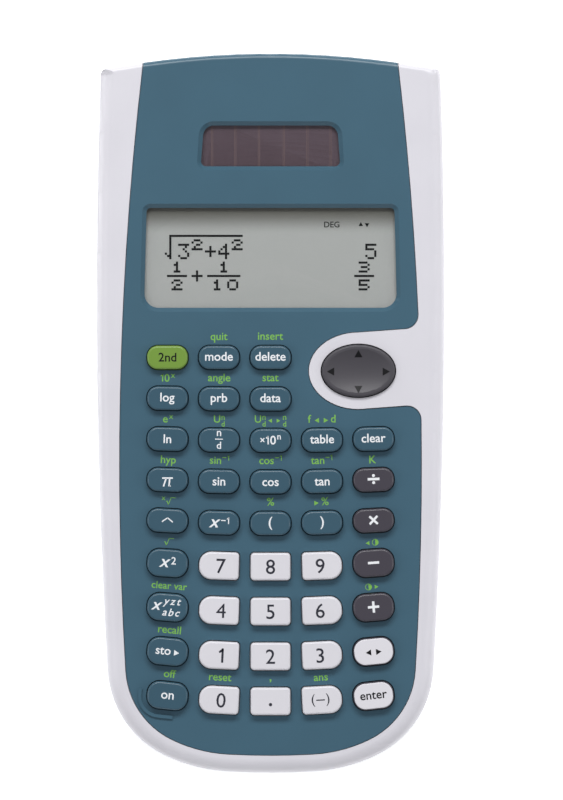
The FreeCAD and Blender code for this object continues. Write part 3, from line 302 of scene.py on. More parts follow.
surface = add_node(
    display_glass, "ShaderNodeBsdfPrincipled",
    {"Base Color": shaded.outputs[2], "Roughness": 0.3, "IOR": 1.5, "Specular IOR Level": 0.2},
)
connect(display_glass, surface.outputs["BSDF"], output, "Surface")
print("made", display_glass.name)

# Amorphous silicon on glass, made by vapour deposition: a film that shifts in tone in clouds. Its colour is
# paler and bluer than it looks in its window, because the smoked pane over it darkens and warms it.
silicon = moulded_plastic(
    "amorphous_silicon_on_glass", "#a0a0b6", "#9291a6",
    rough=0.2, grain=0.4, depth=0.001, cloud=8.0,
)

# %% [markdown]
# ## Metals, rubbers and the rest
# Inside parts are seen only when the case is open, but each still gets what it is made of. Brushed steel
# is noise stretched along one direction, rubber is matt with a coarse weak bump, and the circuit board's
# solder mask is a thin green lacquer.

# %% A function for metal


def worked_metal(name, main, shade, rough, stretch, line=0.12):
    """Metal with fine working lines of the given width in mm, drawn out along X by the stretch."""
    material, output = new_material(name)
    spot = add_node(material, "ShaderNodeTexCoord").outputs["Object"]
    drawn = add_node(material, "ShaderNodeMapping", {"Vector": spot, "Scale": (1 / stretch, 1.0, 1.0)})
    lines = add_node(
        material, "ShaderNodeTexNoise",
        {"Vector": drawn.outputs["Vector"], "Scale": 1 / (line * MM), "Detail": 3.0},
    )
    tone = add_node(
        material, "ShaderNodeMix",
        {"Factor": lines.outputs["Fac"], 6: linear(main), 7: linear(shade)}, data_type="RGBA",
    )
    bump = add_node(
        material, "ShaderNodeBump", {"Height": lines.outputs["Fac"], "Distance": 0.004 * MM, "Strength": 0.5}
    )
    surface = add_node(
        material, "ShaderNodeBsdfPrincipled",
        {
            "Base Color": tone.outputs[2], "Metallic": 1.0, "Roughness": rough,
            "Normal": bump.outputs["Normal"],
        },
    )
    connect(material, surface.outputs["BSDF"], output, "Surface")
    print("made", name)
    return material


cell_steel = worked_metal("stainless_steel_cell_can_brushed", "#c6c8ca", "#b2b4b7", 0.3, 12)
spring_steel = worked_metal("gold_flashed_spring_steel", "#c0ac7c", "#ad9a70", 0.28, 4)
screw_steel = worked_metal("zinc_plated_screw_steel", "#8c8f92", "#7b7e82", 0.35, 1, line=0.2)
silicone = moulded_plastic("grey_silicone_rubber_moulded", "#bcc6c9", "#b2bcc0", rough=0.6, grain=0.5, depth=0.02)
foot_rubber = moulded_plastic(
    "black_rubber_foot_moulded", "#2a2b2e", "#222326",
    rough=0.75, grain=0.35, depth=0.05, ior=1.52,
)
board_green = moulded_plastic(
    "green_solder_masked_laminate", "#2f6b3f", "#296037",
    rough=0.3, grain=0.6, depth=0.01, cloud=6.0,
)
sealed_resin = moulded_plastic("black_cured_resin_drop", "#1a1a1c", "#141416", rough=0.18, grain=1.2, depth=0.02)
contact_rubber = moulded_plastic(
    "striped_conductive_rubber", "#9a5258", "#803f46",
    rough=0.6, grain=0.3, depth=0.02, cloud=1.2,
)
wire_sleeve = moulded_plastic(
    "red_PVC_wire_sleeve_extruded", "#a6332c", "#992c26",
    rough=0.4, grain=0.3, depth=0.005, cloud=3.0,
)

# %% [markdown]
# ## Put the finishes on the solid pieces
# Each solid piece gets the material that the table below gives for its name. Only the piece's material
# changes; the mesh stays as it came.

# %% Assign the finishes
FINISHES = {
    "front_frame": white_abs, "faceplate": blue_abs, "rear_cover": rear_abs,
    "display_window": clear_acrylic, "solar_window": smoked_acrylic,
    "lcd_panel": display_glass, "lcd_frame": black_abs, "lcd_connector": contact_rubber,
    "circuit_board": board_green, "key_mat": silicone, "battery": cell_steel,
    "battery_contacts": spring_steel, "chip_blob": sealed_resin, "solar_cell": silicon,
    "solar_leads": wire_sleeve, "case_screws": screw_steel, "rubber_feet": foot_rubber,
    "nav_pad": pad_plastic, "nav_pivot": black_abs,
    "key_2nd": green_cap, "key_toggle": two_shot, "key_enter": two_shot,
}
for name in ("key_divide", "key_multiply", "key_subtract", "key_add"):
    FINISHES[name] = dark_cap
for name in [f"key_{figure}" for figure in range(10)] + ["key_point", "key_negate"]:
    FINISHES[name] = white_cap
for name in key_spots:
    FINISHES.setdefault(name, blue_cap)
for name, piece in nodes.items():
    piece.data.materials.clear()
    piece.data.materials.append(FINISHES[name])
print("finished", len(nodes), "solid pieces")

# %% [markdown]
# ## Smooth skins for what the eye sees
# The solid model's surfaces come as loose triangles, so a rolled edge shows as a row of flat strips when it
# catches the light. For the shells, the keys and the pad a copy is made, its loose points are merged, and it
# is shaded smooth except where the faces meet at more than 32 degrees. A Weighted Normal modifier then lets
# the widest face at each point win. Flat tops are cut into long thin triangles, and one leaning normal would
# show as a fan of grey on them. So level faces get upright normals, and so do the rolled edges where they
# touch them: flats stay flat and only the rolls blend. Elsewhere a normal that leans too far from its own
# face falls back to the face's. The front frame is free of this limit, because the slivers in its rolls
# would fall back to their own steep normals and show as bright notches. The copy is attached to a body in
# the solid piece's place, and the solid piece is hidden. The copy stands for the solid piece, which still
# does the touching and moving.

# %% Smooth copies of shells, keys and pad
SHELLS = ("front_frame", "faceplate", "rear_cover")
MERGE_GAP = 1e-5  # loose points closer than this become one, in metres
SHARP_EDGE = 32  # faces that meet at more than this keep a sharp edge, in degrees
MOST_LEAN, FREE_LEAN = 35, 180  # how far a corner's normal may lean from its face, in degrees
LEVEL, NEARLY_UPRIGHT = 0.9999, 0.85  # upright share of a level face's normal, and of one at the start of a roll
seen = [name for name in nodes if name in SHELLS or name == "nav_pad" or name in key_spots]


def settle_normals(mesh, most_lean):
    """Keep level faces flat, start rolls upright, and let no corner lean further than given from its face."""
    level = {point for face in mesh.polygons if abs(face.normal.z) > LEVEL for point in face.vertices}
    leans = [corner.vector.copy() for corner in mesh.corner_normals]
    for face in mesh.polygons:
        for loop in face.loop_indices:
            lean = leans[loop]
            if abs(face.normal.z) > LEVEL or lean.dot(face.normal) < math.cos(math.radians(most_lean)):
                leans[loop] = face.normal.copy()
            elif mesh.loops[loop].vertex_index in level and abs(lean.z) > NEARLY_UPRIGHT:
                leans[loop] = Vector((0, 0, math.copysign(1, lean.z)))
    mesh.normals_split_custom_set(leans)


for name in seen:
    bpy.ops.object.select_all(action="DESELECT")
    skin = nodes[name].copy()
    skin.data = nodes[name].data.copy()
    skin.name = skin.data.name = name + "_skin"
    bpy.context.collection.objects.link(skin)
    skin.parent = None
    for key in list(skin.keys()):
        del skin[key]
    skin.select_set(True)
    bpy.context.view_layer.objects.active = skin
    bpy.ops.object.mode_set(mode="EDIT")
    bpy.ops.mesh.select_all(action="SELECT")
    bpy.ops.mesh.remove_doubles(threshold=MERGE_GAP)
    bpy.ops.mesh.dissolve_degenerate(threshold=MERGE_GAP)
    bpy.ops.object.mode_set(mode="OBJECT")
    bpy.ops.object.shade_smooth_by_angle(angle=math.radians(SHARP_EDGE))
    even = skin.modifiers.new("even", "WEIGHTED_NORMAL")
    even.mode, even.weight, even.keep_sharp = "FACE_AREA", 100, True
    bpy.ops.object.modifier_apply(modifier="even")
    settle_normals(skin.data, FREE_LEAN if name == "front_frame" else MOST_LEAN)
    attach(skin, "case" if name in SHELLS else name)
    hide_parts(name)
print("smooth skins:", len(seen))

# %% [markdown]
# ## Printing ink
# The legends are pad-printed: a film of ink about 0.02 mm thick, with a slightly grainy edge to its gloss.
# They could be a texture, but a texture would need a picture, and real letter shapes stay sharp close up.
# So each legend is lettering turned into a very thin solid that lies on its key and rides with it.

# %% Inks
white_ink = moulded_plastic("white_pad_print_ink", "#eef0f2", "#e4e6e9", rough=0.5, grain=0.1, depth=0.003, cloud=2.0)
green_ink = moulded_plastic("green_pad_print_ink", "#7cba4e", "#74b047", rough=0.5, grain=0.1, depth=0.003, cloud=2.0)
navy_ink = moulded_plastic(
    "navy_pad_print_ink", "#2d2e39", "#282933",
    rough=0.5, grain=0.1, depth=0.003, cloud=2.0, specular=0.25,
)
# Black pad-print ink for the key legends; on the direction pad's arrows the same black is painted shade.
black_ink_and_shade = moulded_plastic(
    "black_print_ink_and_painted_shade", "#111114", "#0c0c0f",
    rough=0.5, grain=0.1, depth=0.003, cloud=2.0, specular=0.2,
)
display_ink = moulded_plastic(
    "display_dark_segment", "#0a0a0b", "#060607",
    rough=0.5, grain=0.2, depth=0.001, cloud=2.0, specular=0.1,
)
INK_THICKNESS = 0.02

# %% [markdown]
# ## Modelled signs
# Some signs are no letters: the little arrowheads, the half discs for the display's contrast, the root
# sign and plain bars. Each is modelled once at a size of one unit, like a letter of a font, and copied.
# An arrowhead starts as a three-sided circle; its face is extruded for the ink's thickness.

# %% Modelling helpers for signs


def clear_selection():
    """Leave edit mode and select nothing, so that an operator acts only on what comes next."""
    if bpy.context.object and bpy.context.object.mode != "OBJECT":
        bpy.ops.object.mode_set(mode="OBJECT")
    bpy.ops.object.select_all(action="DESELECT")


def thicken(sign):
    """Extrude a flat sign upwards by the ink's thickness, as a closed solid with its faces outwards."""
    bpy.ops.object.mode_set(mode="EDIT")
    bpy.ops.mesh.select_all(action="SELECT")
    bpy.ops.mesh.extrude_region_move(TRANSFORM_OT_translate={"value": (0, 0, INK_THICKNESS)})
    bpy.ops.mesh.select_all(action="SELECT")
    bpy.ops.mesh.remove_doubles(threshold=MERGE_GAP)
    bpy.ops.mesh.normals_make_consistent(inside=False)
    bpy.ops.object.mode_set(mode="OBJECT")
    return sign


def arrowhead(name, turn):
    """A filled triangle 0.83 units tall, its origin a third of the way up, turned clockwise from upright."""
    clear_selection()
    bpy.ops.mesh.primitive_circle_add(vertices=3, radius=0.5, fill_type="NGON", location=(0, 0, 0))
    sign = bpy.context.object
    sign.name = name
    bpy.ops.object.mode_set(mode="EDIT")
    bpy.ops.mesh.select_all(action="SELECT")
    bpy.ops.transform.resize(value=(1.05, 1.1, 1))
    bpy.ops.transform.rotate(value=turn, orient_axis="Z", center_override=(0, 0, 0))
    bpy.ops.object.mode_set(mode="OBJECT")
    return thicken(sign)


test = arrowhead("arrow_test", math.pi / 2)
print("arrowhead tip:", [round(c, 3) for c in max((v.co for v in test.data.vertices), key=lambda co: abs(co.x))])
bpy.data.objects.remove(test)

# %% [markdown]
# The contrast sign is a ring with one half filled: a filled circle is inset for the ring, and the inner face
# is cut down the middle, where the half that stays empty is cleared away. The bar is a flat strip with its
# ends slightly rounded, and the root sign is three such bars.

# %% Make the signs


def half_disc(name, filled_side):
    """A ring of one unit with one half filled, -1 for the left half and 1 for the right."""
    clear_selection()
    bpy.ops.mesh.primitive_circle_add(vertices=28, radius=0.5, fill_type="NGON", location=(0, 0, 0))
    sign = bpy.context.object
    sign.name = name
    bpy.ops.object.mode_set(mode="EDIT")
    bpy.ops.mesh.select_mode(type="FACE")
    bpy.ops.mesh.select_all(action="SELECT")
    bpy.ops.mesh.inset(thickness=0.09)
    bpy.ops.mesh.bisect(plane_co=(0, 0, 0), plane_no=(1, 0, 0))
    bpy.ops.object.mode_set(mode="OBJECT")
    for face in sign.data.polygons:
        inside = all(sign.data.vertices[v].co.length < 0.46 for v in face.vertices)
        face.select = inside and face.center.x * filled_side < 0
    bpy.ops.object.mode_set(mode="EDIT")
    bpy.ops.mesh.delete(type="FACE")
    bpy.ops.object.mode_set(mode="OBJECT")
    return thicken(sign)


def bar(name, length, width, start=(0, 0), turn=0.0):
    """A printed line from its start along the turn, its corners rounded off."""
    clear_selection()
    bpy.ops.mesh.primitive_plane_add(size=1, location=(0, 0, 0))
    sign = bpy.context.object
    sign.name = name
    bpy.ops.object.mode_set(mode="EDIT")
    bpy.ops.mesh.select_all(action="SELECT")
    bpy.ops.transform.resize(value=(length, width, 1))
    bpy.ops.transform.translate(value=(length / 2, 0, 0))
    bpy.ops.mesh.bevel(offset=width * 0.2, segments=2, affect="VERTICES")
    bpy.ops.mesh.select_all(action="SELECT")
    bpy.ops.transform.rotate(value=-turn, orient_axis="Z", center_override=(0, 0, 0))
    bpy.ops.transform.translate(value=(start[0], start[1], 0))
    bpy.ops.object.mode_set(mode="OBJECT")
    return thicken(sign)


def joined(name, parts):
    """Join several objects into one under a new name."""
    clear_selection()
    for part in parts:
        part.select_set(True)
    bpy.context.view_layer.objects.active = parts[0]
    if len(parts) > 1:
        bpy.ops.object.join()
    whole = bpy.context.object
    whole.name = whole.data.name = name
    return whole


root = joined(
    "root_sign",
    [
        bar("root_tick", 0.16, 0.09, (-0.42, 0.02), math.radians(25)),
        bar("root_down", 0.5, 0.12, (-0.30, 0.06), math.radians(-66)),
        bar("root_up", 0.98, 0.08, (-0.11, -0.38), math.radians(72)),
        bar("root_roof", 0.62, 0.08, (0.17, 0.52), 0.0),
    ],
)
one = joined(
    "figure_one",
    [
        bar("one_stem", 0.69, 0.105, (0.0, 0.0), math.pi / 2),
        bar("one_flag", 0.24, 0.095, (0.02, 0.64), math.radians(218)),
    ],
)
greek_pi = joined(
    "greek_pi",
    [
        bar("pi_roof", 1.08, 0.15, (-0.52, 0.42), 0.04),
        bar("pi_left", 0.86, 0.15, (-0.12, 0.40), math.radians(-106)),
        bar("pi_right", 0.80, 0.15, (0.24, 0.40), math.radians(-93)),
        bar("pi_foot", 0.18, 0.12, (0.2, -0.38), math.radians(20)),
    ],
)
chevron = joined(
    "chevron",
    [
        bar("chevron_left", 0.64, 0.11, (0.0, 0.22), math.radians(217)),
        bar("chevron_right", 0.64, 0.11, (0.0, 0.22), math.radians(-37)),
    ],
)
SIGNS = {
    "one": one,
    "chevron": chevron,
    "pi": greek_pi,
    "right": arrowhead("arrow_right", math.pi / 2),
    "left": arrowhead("arrow_left", -math.pi / 2),
    "fill_right": half_disc("half_disc_right", 1),
    "root": root,
}
for sign in SIGNS.values():
    wide = [v.co.x for v in sign.data.vertices]
    print(sign.name, "from", round(min(wide), 2), "to", round(max(wide), 2), "faces", len(sign.data.polygons))

# %% [markdown]
# ## Setting lettering
# A legend is a row of runs. Each run is a piece of text or one of the signs, with its own size and lift, so
# that an exponent is a small run lifted above the line. Each run is set right after the one before, then
# the whole row is centred. The letters come from Blender's own font, whose x is 0.45 of its size tall.

# %% Helpers for lettering
X_HEIGHT = 0.449  # heights of an x, of a capital and of a figure at a size of one
CAPITAL_HEIGHT = 0.682
FIGURE_HEIGHT = 0.69
BOLD = 0.012
FIGURE_BOLD, FOUR_BOLD = 0.004, 0.0  # figures are less bold, and a bold 4 would fill its own counter
LETTER_GAP = 0.11  # between two runs, as a share of the size
ARROW_GAP = 0.5  # more room on both sides of an arrowhead, in mm
SIGN_LIFT = 0.9 * X_HEIGHT  # lifts a sign's middle into the words, as a share of its size


def text_run(text, size, slant=0.0, bold=BOLD, spread=1.0):
    """A word in Blender's own font as a thin mesh. Bold thickens the strokes and spread spaces the letters."""
    clear_selection()
    bpy.ops.object.text_add(location=(0, 0, 0))
    word = bpy.context.object
    word.data.body = text
    word.data.size = size
    word.data.shear = slant
    word.data.resolution_u = 3
    word.data.extrude = INK_THICKNESS / 2
    word.data.offset = bold * size
    word.data.space_character = spread
    bpy.ops.object.convert(target="MESH")
    word = bpy.context.object
    bpy.ops.object.mode_set(mode="EDIT")
    bpy.ops.mesh.select_all(action="SELECT")
    bpy.ops.mesh.remove_doubles(threshold=1e-4)
    bpy.ops.transform.translate(value=(0, 0, INK_THICKNESS / 2))
    bpy.ops.object.mode_set(mode="OBJECT")
    return word


def sign_run(kind, size):
    """A copy of one of the signs at a size."""
    clear_selection()
    piece = SIGNS[kind].copy()
    piece.data = SIGNS[kind].data.copy()
    bpy.context.collection.objects.link(piece)
    for vertex in piece.data.vertices:
        vertex.co.x *= size
        vertex.co.y *= size
    return piece


def reach(piece):
    """Lowest and highest x and y of a piece's points."""
    xs = [v.co.x for v in piece.data.vertices]
    ys = [v.co.y for v in piece.data.vertices]
    return min(xs), max(xs), min(ys), max(ys)


def move_points(piece, x, y, z=0.0, turn=0.0, scale=1.0):
    """Turn, scale and shift a piece's points about the origin."""
    c, s = math.cos(turn) * scale, math.sin(turn) * scale
    for vertex in piece.data.vertices:
        px, py, pz = vertex.co
        vertex.co = (c * px - s * py + x, s * px + c * py + y, pz * scale + z)


def set_row(runs, slant=0.0, bold=BOLD, spread=1.0):
    """Set runs of (text or sign, size, lift) side by side and give back one mesh centred across."""
    pen, pieces, parts = 0.0, [], []
    for what, size, lift in runs:
        if what in SIGNS:
            parts.append((what, size, lift))
        else:
            for number, text in enumerate(what.split("1")):
                parts += [("one", size, lift)] * (number > 0) + [(text, size, lift)] * bool(text)
    for what, size, lift in parts:
        piece = sign_run(what, size) if what in SIGNS else text_run(what, size, slant, bold, spread)
        left, right, _, _ = reach(piece)
        apart = ARROW_GAP if what in ("left", "right") else 0.0
        centred = what in SIGNS and what != "one"
        pen += apart * (pen > 0)
        move_points(piece, pen - left, lift + (SIGN_LIFT * size if centred else 0))
        pen += right - left + LETTER_GAP * size + apart
        pieces.append(piece)
    whole = joined("row", pieces)
    left, right, _, _ = reach(whole)
    move_points(whole, -(left + right) / 2, 0)
    return whole


# %% [markdown]
# ## The legends on the keys
# Words are 1.34 mm tall at the x, the figures 3.45 mm. The table says what stands on each key. A word
# sits on a line a little under the key's middle, because tall letters rise above the x.

# %% What stands on the keys
WORD = 1.34 / X_HEIGHT
FIGURE = 3.45 / FIGURE_HEIGHT
SMALL = 0.62
KEY_LEGENDS = {
    "key_2nd": ([("2nd", WORD, -0.2)], "black"),
    "key_mode": ([("mode", WORD, 0)], "white"),
    "key_delete": ([("delete", WORD, 0)], "white"),
    "key_log": ([("log", WORD, 0)], "white"),
    "key_prb": ([("prb", WORD, 0)], "white"),
    "key_data": ([("data", WORD, 0)], "white"),
    "key_ln": ([("ln", WORD, -0.2)], "white"),
    "key_exponent": ([("×", WORD * 0.8, 0), ("10", WORD, -0.2), ("n", WORD * 0.72, 1.0)], "white"),
    "key_table": ([("table", WORD, 0)], "white"),
    "key_clear": ([("clear", WORD, 0)], "white"),
    "key_pi": ([("pi", 2.4, -0.85)], "white"),
    "key_sin": ([("sin", WORD, -0.2)], "white"),
    "key_cos": ([("cos", WORD, -0.2)], "white"),
    "key_tan": ([("tan", WORD, -0.2)], "white"),
    "key_divide": ([("÷", FIGURE * 1.15, -1.1)], "white"),
    "key_power": ([("chevron", 2.6, -0.2)], "white"),
    "key_open_paren": ([("(", WORD * 1.1, 0)], "white"),
    "key_close_paren": ([(")", WORD * 1.1, 0)], "white"),
    "key_multiply": ([("×", FIGURE, -0.9)], "white"),
    "key_subtract": ([("−", FIGURE * 1.1, -1.1)], "white"),
    "key_add": ([("+", FIGURE * 1.1, -1.1)], "white"),
    "key_store": ([("sto", WORD, 0), ("right", 1.5, 0)], "white"),
    "key_toggle": ([("left", 1.6, -0.05), ("right", 1.6, -0.05)], "black"),
    "key_on": ([("on", WORD * 1.05, 0)], "white"),
    "key_point": ([(".", FIGURE * 1.3, -0.35)], "navy"),
    "key_enter": ([("enter", WORD, 0)], "black"),
}
for figure in range(10):
    KEY_LEGENDS[f"key_{figure}"] = ([(str(figure), FIGURE, -1.0)], "navy")
print(len(KEY_LEGENDS), "keys with one row of legend")

# %% [markdown]
# The fraction key shows n over d with a bar, and the variable key a slanted x with two small rows beside
# it. These are set from several rows, each moved to its own height.

# %% Stacked legends


def fraction_legend():
    """n above a bar above d."""
    over, under = set_row([("n", 2.6, 0)]), set_row([("d", 2.45, 0)])
    line = bar("fraction_line", 1.9, 0.22, (-0.95, 0.23))
    move_points(over, 0, 1.0)
    move_points(under, 0, -2.07)
    return joined("fraction", [over, line, under])


def variable_legend():
    """A slanted x with two short rows of names to its right."""
    x = set_row([("x", 3.9, 0)], slant=0.3)
    upper = set_row([("yzt", 2.55, 0)], slant=0.3, spread=1.35)
    lower = set_row([("abc", 2.55, 0)], slant=0.3, spread=1.25)
    move_points(x, -2.6, -0.75)
    move_points(upper, 1.0, 0.7)
    move_points(lower, 1.0, -2.0)
    return joined("variable", [x, upper, lower])


def raised_legend(small, x_size, small_size, lift):
    """A slanted x with a small raised number."""
    x = set_row([("x", x_size, 0)], slant=0.3)
    power = set_row([(small, small_size, 0)])
    _, right, _, _ = reach(x)
    left, _, _, _ = reach(power)
    move_points(power, right - left + 0.1, lift)
    whole = joined("raised", [x, power])
    left, right, _, _ = reach(whole)
    move_points(whole, -(left + right) / 2, 0)
    return whole


def negate_legend():
    """A minus between brackets, set lower than in a line of text."""
    first, last = set_row([("(", 3.3, 0)], bold=0.0), set_row([(")", 3.3, 0)], bold=0.0)
    _, _, low, high = reach(first)
    move_points(first, -1.75, 0)
    move_points(last, 1.75, 0)
    line = bar("minus", 2.1, 0.28, (-1.05, (low + high) / 2))
    return joined("negate", [first, line, last])


INKS = {
    "white": (white_ink, "white_key"),
    "navy": (navy_ink, "black_plastic"),
    "black": (black_ink_and_shade, "black_plastic"),
    "green": (green_ink, "green_key"),
}


def lay(legend, name, x, y, z, turn, ink, body):
    """Shrink a legend from mm to metres, lay it at its place and let it ride on a body."""
    move_points(legend, x, y, z, turn, MM)
    legend.name = legend.data.name = name
    legend.data.materials.clear()
    legend.data.materials.append(INKS[ink][0])
    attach(legend, body)


SIDE_FIGURES = {name: 0.5 for name in ("key_7", "key_4", "key_1", "key_0")}  # nudges across, in mm
SIDE_FIGURES.update({name: -0.45 for name in ("key_9", "key_6", "key_3")})
for name, (x, y, turn) in key_spots.items():
    ink, drop, beside = "white", 0.0, 0.0
    if name == "key_fraction":
        legend = fraction_legend()
    elif name == "key_variable":
        legend = variable_legend()
    elif name == "key_square":
        legend, drop = raised_legend("2", 4.1, 2.5, 0.75), 0.95
    elif name == "key_inverse":
        legend, drop = raised_legend("−1", 4.1, 2.3, 0.85), 1.1
    elif name == "key_negate":
        legend, ink, drop, beside = negate_legend(), "navy", 0.75, -0.35
    else:
        (runs, ink), drop = KEY_LEGENDS[name], 0.75
        weight = BOLD if ink != "navy" else FOUR_BOLD if name == "key_4" else FIGURE_BOLD
        legend = set_row(runs, bold=weight)
    beside = SIDE_FIGURES.get(name, beside)
    c, s = math.cos(turn), math.sin(turn)
    across, down = beside * MM, drop * MM
    lay(legend, name + "_legend", x + across * c + down * s, y + across * s - down * c, KEY_TOP, turn, ink, name)
print("laid", len(key_spots), "key legends")

# %% [markdown]
# ## The green second legends
# Above most keys the faceplate carries a second legend in green for the key's shifted use. It is a little
# smaller, 1.2 mm at the x, and sits in the gap above the key, turned with its row. All of them are printed
# in one go on the real plate, so they become one piece here.

# %% Second legends
SECOND = 1.2 / X_HEIGHT
SECOND_LEGENDS = {
    "key_mode": [("quit", SECOND, 0)],
    "key_delete": [("insert", SECOND, 0)],
    "key_log": [("10", SECOND, 0), ("x", SECOND * 0.7, 1.0)],
    "key_prb": [("angle", SECOND, 0)],
    "key_data": [("stat", SECOND, 0)],
    "key_ln": [("e", SECOND, 0), ("x", SECOND * 0.7, 0.9)],
    "key_fraction": [("U", SECOND * 0.95, 0), ("n_over_d", 1.0, 0)],
    "key_exponent": [
        ("U", SECOND * 0.95, 0), ("n_over_d", 1.0, 0),
        ("left", 1.1, 0), ("right", 1.1, 0), ("n_over_d", 1.0, 0),
    ],
    "key_table": [("f", SECOND, 0), ("left", 1.3, 0), ("right", 1.3, 0), ("d", SECOND, 0)],
    "key_pi": [("hyp", SECOND, 0)],
    "key_sin": [("sin", SECOND, 0), ("−1", SECOND * 0.72, 0.85)],
    "key_cos": [("cos", SECOND, 0), ("−1", SECOND * 0.72, 0.85)],
    "key_tan": [("tan", SECOND, 0), ("−1", SECOND * 0.72, 0.85)],
    "key_divide": [("K", SECOND, 0)],
    "key_power": [("x", SECOND * SMALL, 0.9), ("root", 1.9, -0.2)],
    "key_open_paren": [("%", SECOND, 0)],
    "key_close_paren": [("right", 1.3, 0), ("%", SECOND, 0)],
    "key_square": [("root", 1.9, -0.2)],
    "key_subtract": [("left", 1.1, 0), ("fill_right", 1.6, -0.1)],
    "key_variable": [("clear var", SECOND * 0.92, 0)],
    "key_add": [("fill_right", 1.6, -0.1), ("right", 1.1, 0)],
    "key_store": [("recall", SECOND, 0)],
    "key_on": [("off", SECOND, 0)],
    "key_0": [("reset", SECOND, 0)],
    "key_point": [(",", SECOND * 1.15, 0.2)],
    "key_negate": [("ans", SECOND, 0)],
}
over, under = set_row([("n", 2.0, 0)]), set_row([("d", 1.8, 0)])
move_points(over, 0, 0.25)
move_points(under, 0, -1.35)
SIGNS["n_over_d"] = joined("n_over_d", [over, under])
UPPER_RISE, LOWER_RISE = 4.3, 4.7  # from a key's middle to its second legend's line, in mm
LOWER_ROWS = -30  # the lower rise holds for keys below this y, in mm
SIDE_DROP, OUTER_COLUMN = 0.3, 24.84  # the outer column, this far out, has its legends this much lower, in mm
second_rows = []
for name, runs in SECOND_LEGENDS.items():
    x, y, turn = key_spots[name]
    rise = (UPPER_RISE if y > LOWER_ROWS * MM else LOWER_RISE) * MM - SIDE_DROP * MM * (x / (OUTER_COLUMN * MM)) ** 2
    legend = set_row(runs)
    move_points(legend, x - rise * math.sin(turn), y + rise * math.cos(turn), PLATE_TOP, turn, MM)
    second_rows.append(legend)
green_print = joined("green_legends", second_rows)
green_print.data.materials.clear()
green_print.data.materials.append(green_ink)
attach(green_print, "case")
print("second legends:", len(second_rows), "rows,", len(green_print.data.polygons), "faces")

# %% [markdown]
# ## What the display shows
# The display is a matrix of square dots, 0.54 mm apart with a hair of glass between them. It shows a worked
# sum: the root of three squared plus four squared equals five, and one half plus one tenth equals three
# fifths. Each character is spelled out as rows of dots, and every dot is a copy of one small square.

# %% Characters as dots
DOT = 0.538
TALL = {
    "3": "11111 00010 00100 00010 00001 10001 01110",
    "4": "00010 00110 01010 10010 11111 00010 00010",
    "5": "11111 10000 11110 00001 00001 10001 01110",
    "+": "00000 00100 00100 11111 00100 00100 00000",
}
SHORT = {
    "2": "01110 10001 00110 01000 11111",
    "3": "11110 00001 01110 00001 11110",
    "5": "11111 10000 11110 00001 11110",
    "0": "01110 10001 10001 10001 01110",
    "1": "010 110 010 010 111",
    "+": "00100 00100 11111 00100 00100",
}
dots = set()


def show(pattern, column, line):
    """Switch on a character's dots; column and line are those of its upper left dot."""
    for down, row in enumerate(pattern.split()):
        for along, lit in enumerate(row):
            if lit == "1":
                dots.add((column + along, line + down))


def line_of_dots(column, line, length, step=(1, 0)):
    """Switch on a straight line of dots."""
    for i in range(length):
        dots.add((column + i * step[0], line + i * step[1]))


# first line: root of 3² + 4², and 5 at the right
line_of_dots(4, 0, 11, (0, 1))
line_of_dots(2, 8, 2, (1, 1))
line_of_dots(4, 0, 33)
show(TALL["3"], 8, 4)
show(SHORT["2"], 14, 2)
show(SHORT["+"], 20, 5)
show(TALL["4"], 26, 4)
show(SHORT["2"], 32, 2)
show(TALL["5"], 92, 4)
# second line: a half and a tenth, and three fifths at the right
show(SHORT["1"], 6, 12)
line_of_dots(3, 18, 9)
show(SHORT["2"], 5, 20)
show(SHORT["+"], 14, 16)
show(SHORT["1"], 27, 12)
line_of_dots(21, 18, 15)
show(SHORT["1"], 24, 20)
show(SHORT["0"], 30, 20)
show(SHORT["3"], 89, 12)
line_of_dots(87, 18, 9)
show(SHORT["5"], 89, 20)
print(len(dots), "dots are dark")

# %% [markdown]
# One dot is a small square that is inset a little and extruded by the thickness of a film, then it is copied
# to every dark place. The little signs along the display's top edge, the angle unit and two arrows, are
# drawn as tiny lettering, because they are fixed segments and no dots.

# %% Lay the dots
DISPLAY_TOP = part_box("lcd_panel")[1].z
FIRST_DOT = (-26.35, 42.83)  # places on the display, in mm
UNIT_PLACE, UP_PLACE, DOWN_PLACE = (14.8, 44.9), (21.8, 45.55), (23.3, 45.55)

clear_selection()
bpy.ops.mesh.primitive_plane_add(size=DOT, location=(0, 0, 0))
dot = bpy.context.object
bpy.ops.object.mode_set(mode="EDIT")
bpy.ops.mesh.select_all(action="SELECT")
bpy.ops.mesh.inset(thickness=0.004)
bpy.ops.mesh.select_all(action="INVERT")
bpy.ops.mesh.delete(type="FACE")
bpy.ops.object.mode_set(mode="OBJECT")
thicken(dot)
lit = []
for column, line in sorted(dots):
    copy = dot.copy()
    copy.data = dot.data.copy()
    bpy.context.collection.objects.link(copy)
    move_points(copy, FIRST_DOT[0] + column * DOT, FIRST_DOT[1] - line * DOT)
    lit.append(copy)
bpy.data.objects.remove(dot)
unit = set_row([("DEG", 1.35 / CAPITAL_HEIGHT, 0)])
move_points(unit, *UNIT_PLACE)
up = sign_run("right", 1.2)
move_points(up, 0, 0, turn=math.pi / 2)
move_points(up, *UP_PLACE)
down = sign_run("right", 1.2)
move_points(down, 0, 0, turn=-math.pi / 2)
move_points(down, *DOWN_PLACE)
shown = joined("display_dots", lit + [unit, up, down])
move_points(shown, 0, 0, DISPLAY_TOP, 0, MM)
shown.data.materials.clear()
shown.data.materials.append(display_ink)
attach(shown, "case")
print("display shows", len(lit), "dots,", len(shown.data.polygons), "faces")

# %% [markdown]
# ## Lines on the solar cell
# The cell is several strips in a row with pairs of fine scribed lines between them. A line is a strip of
# thin silver paste: one strip is modelled and copied to both sides of every gap.

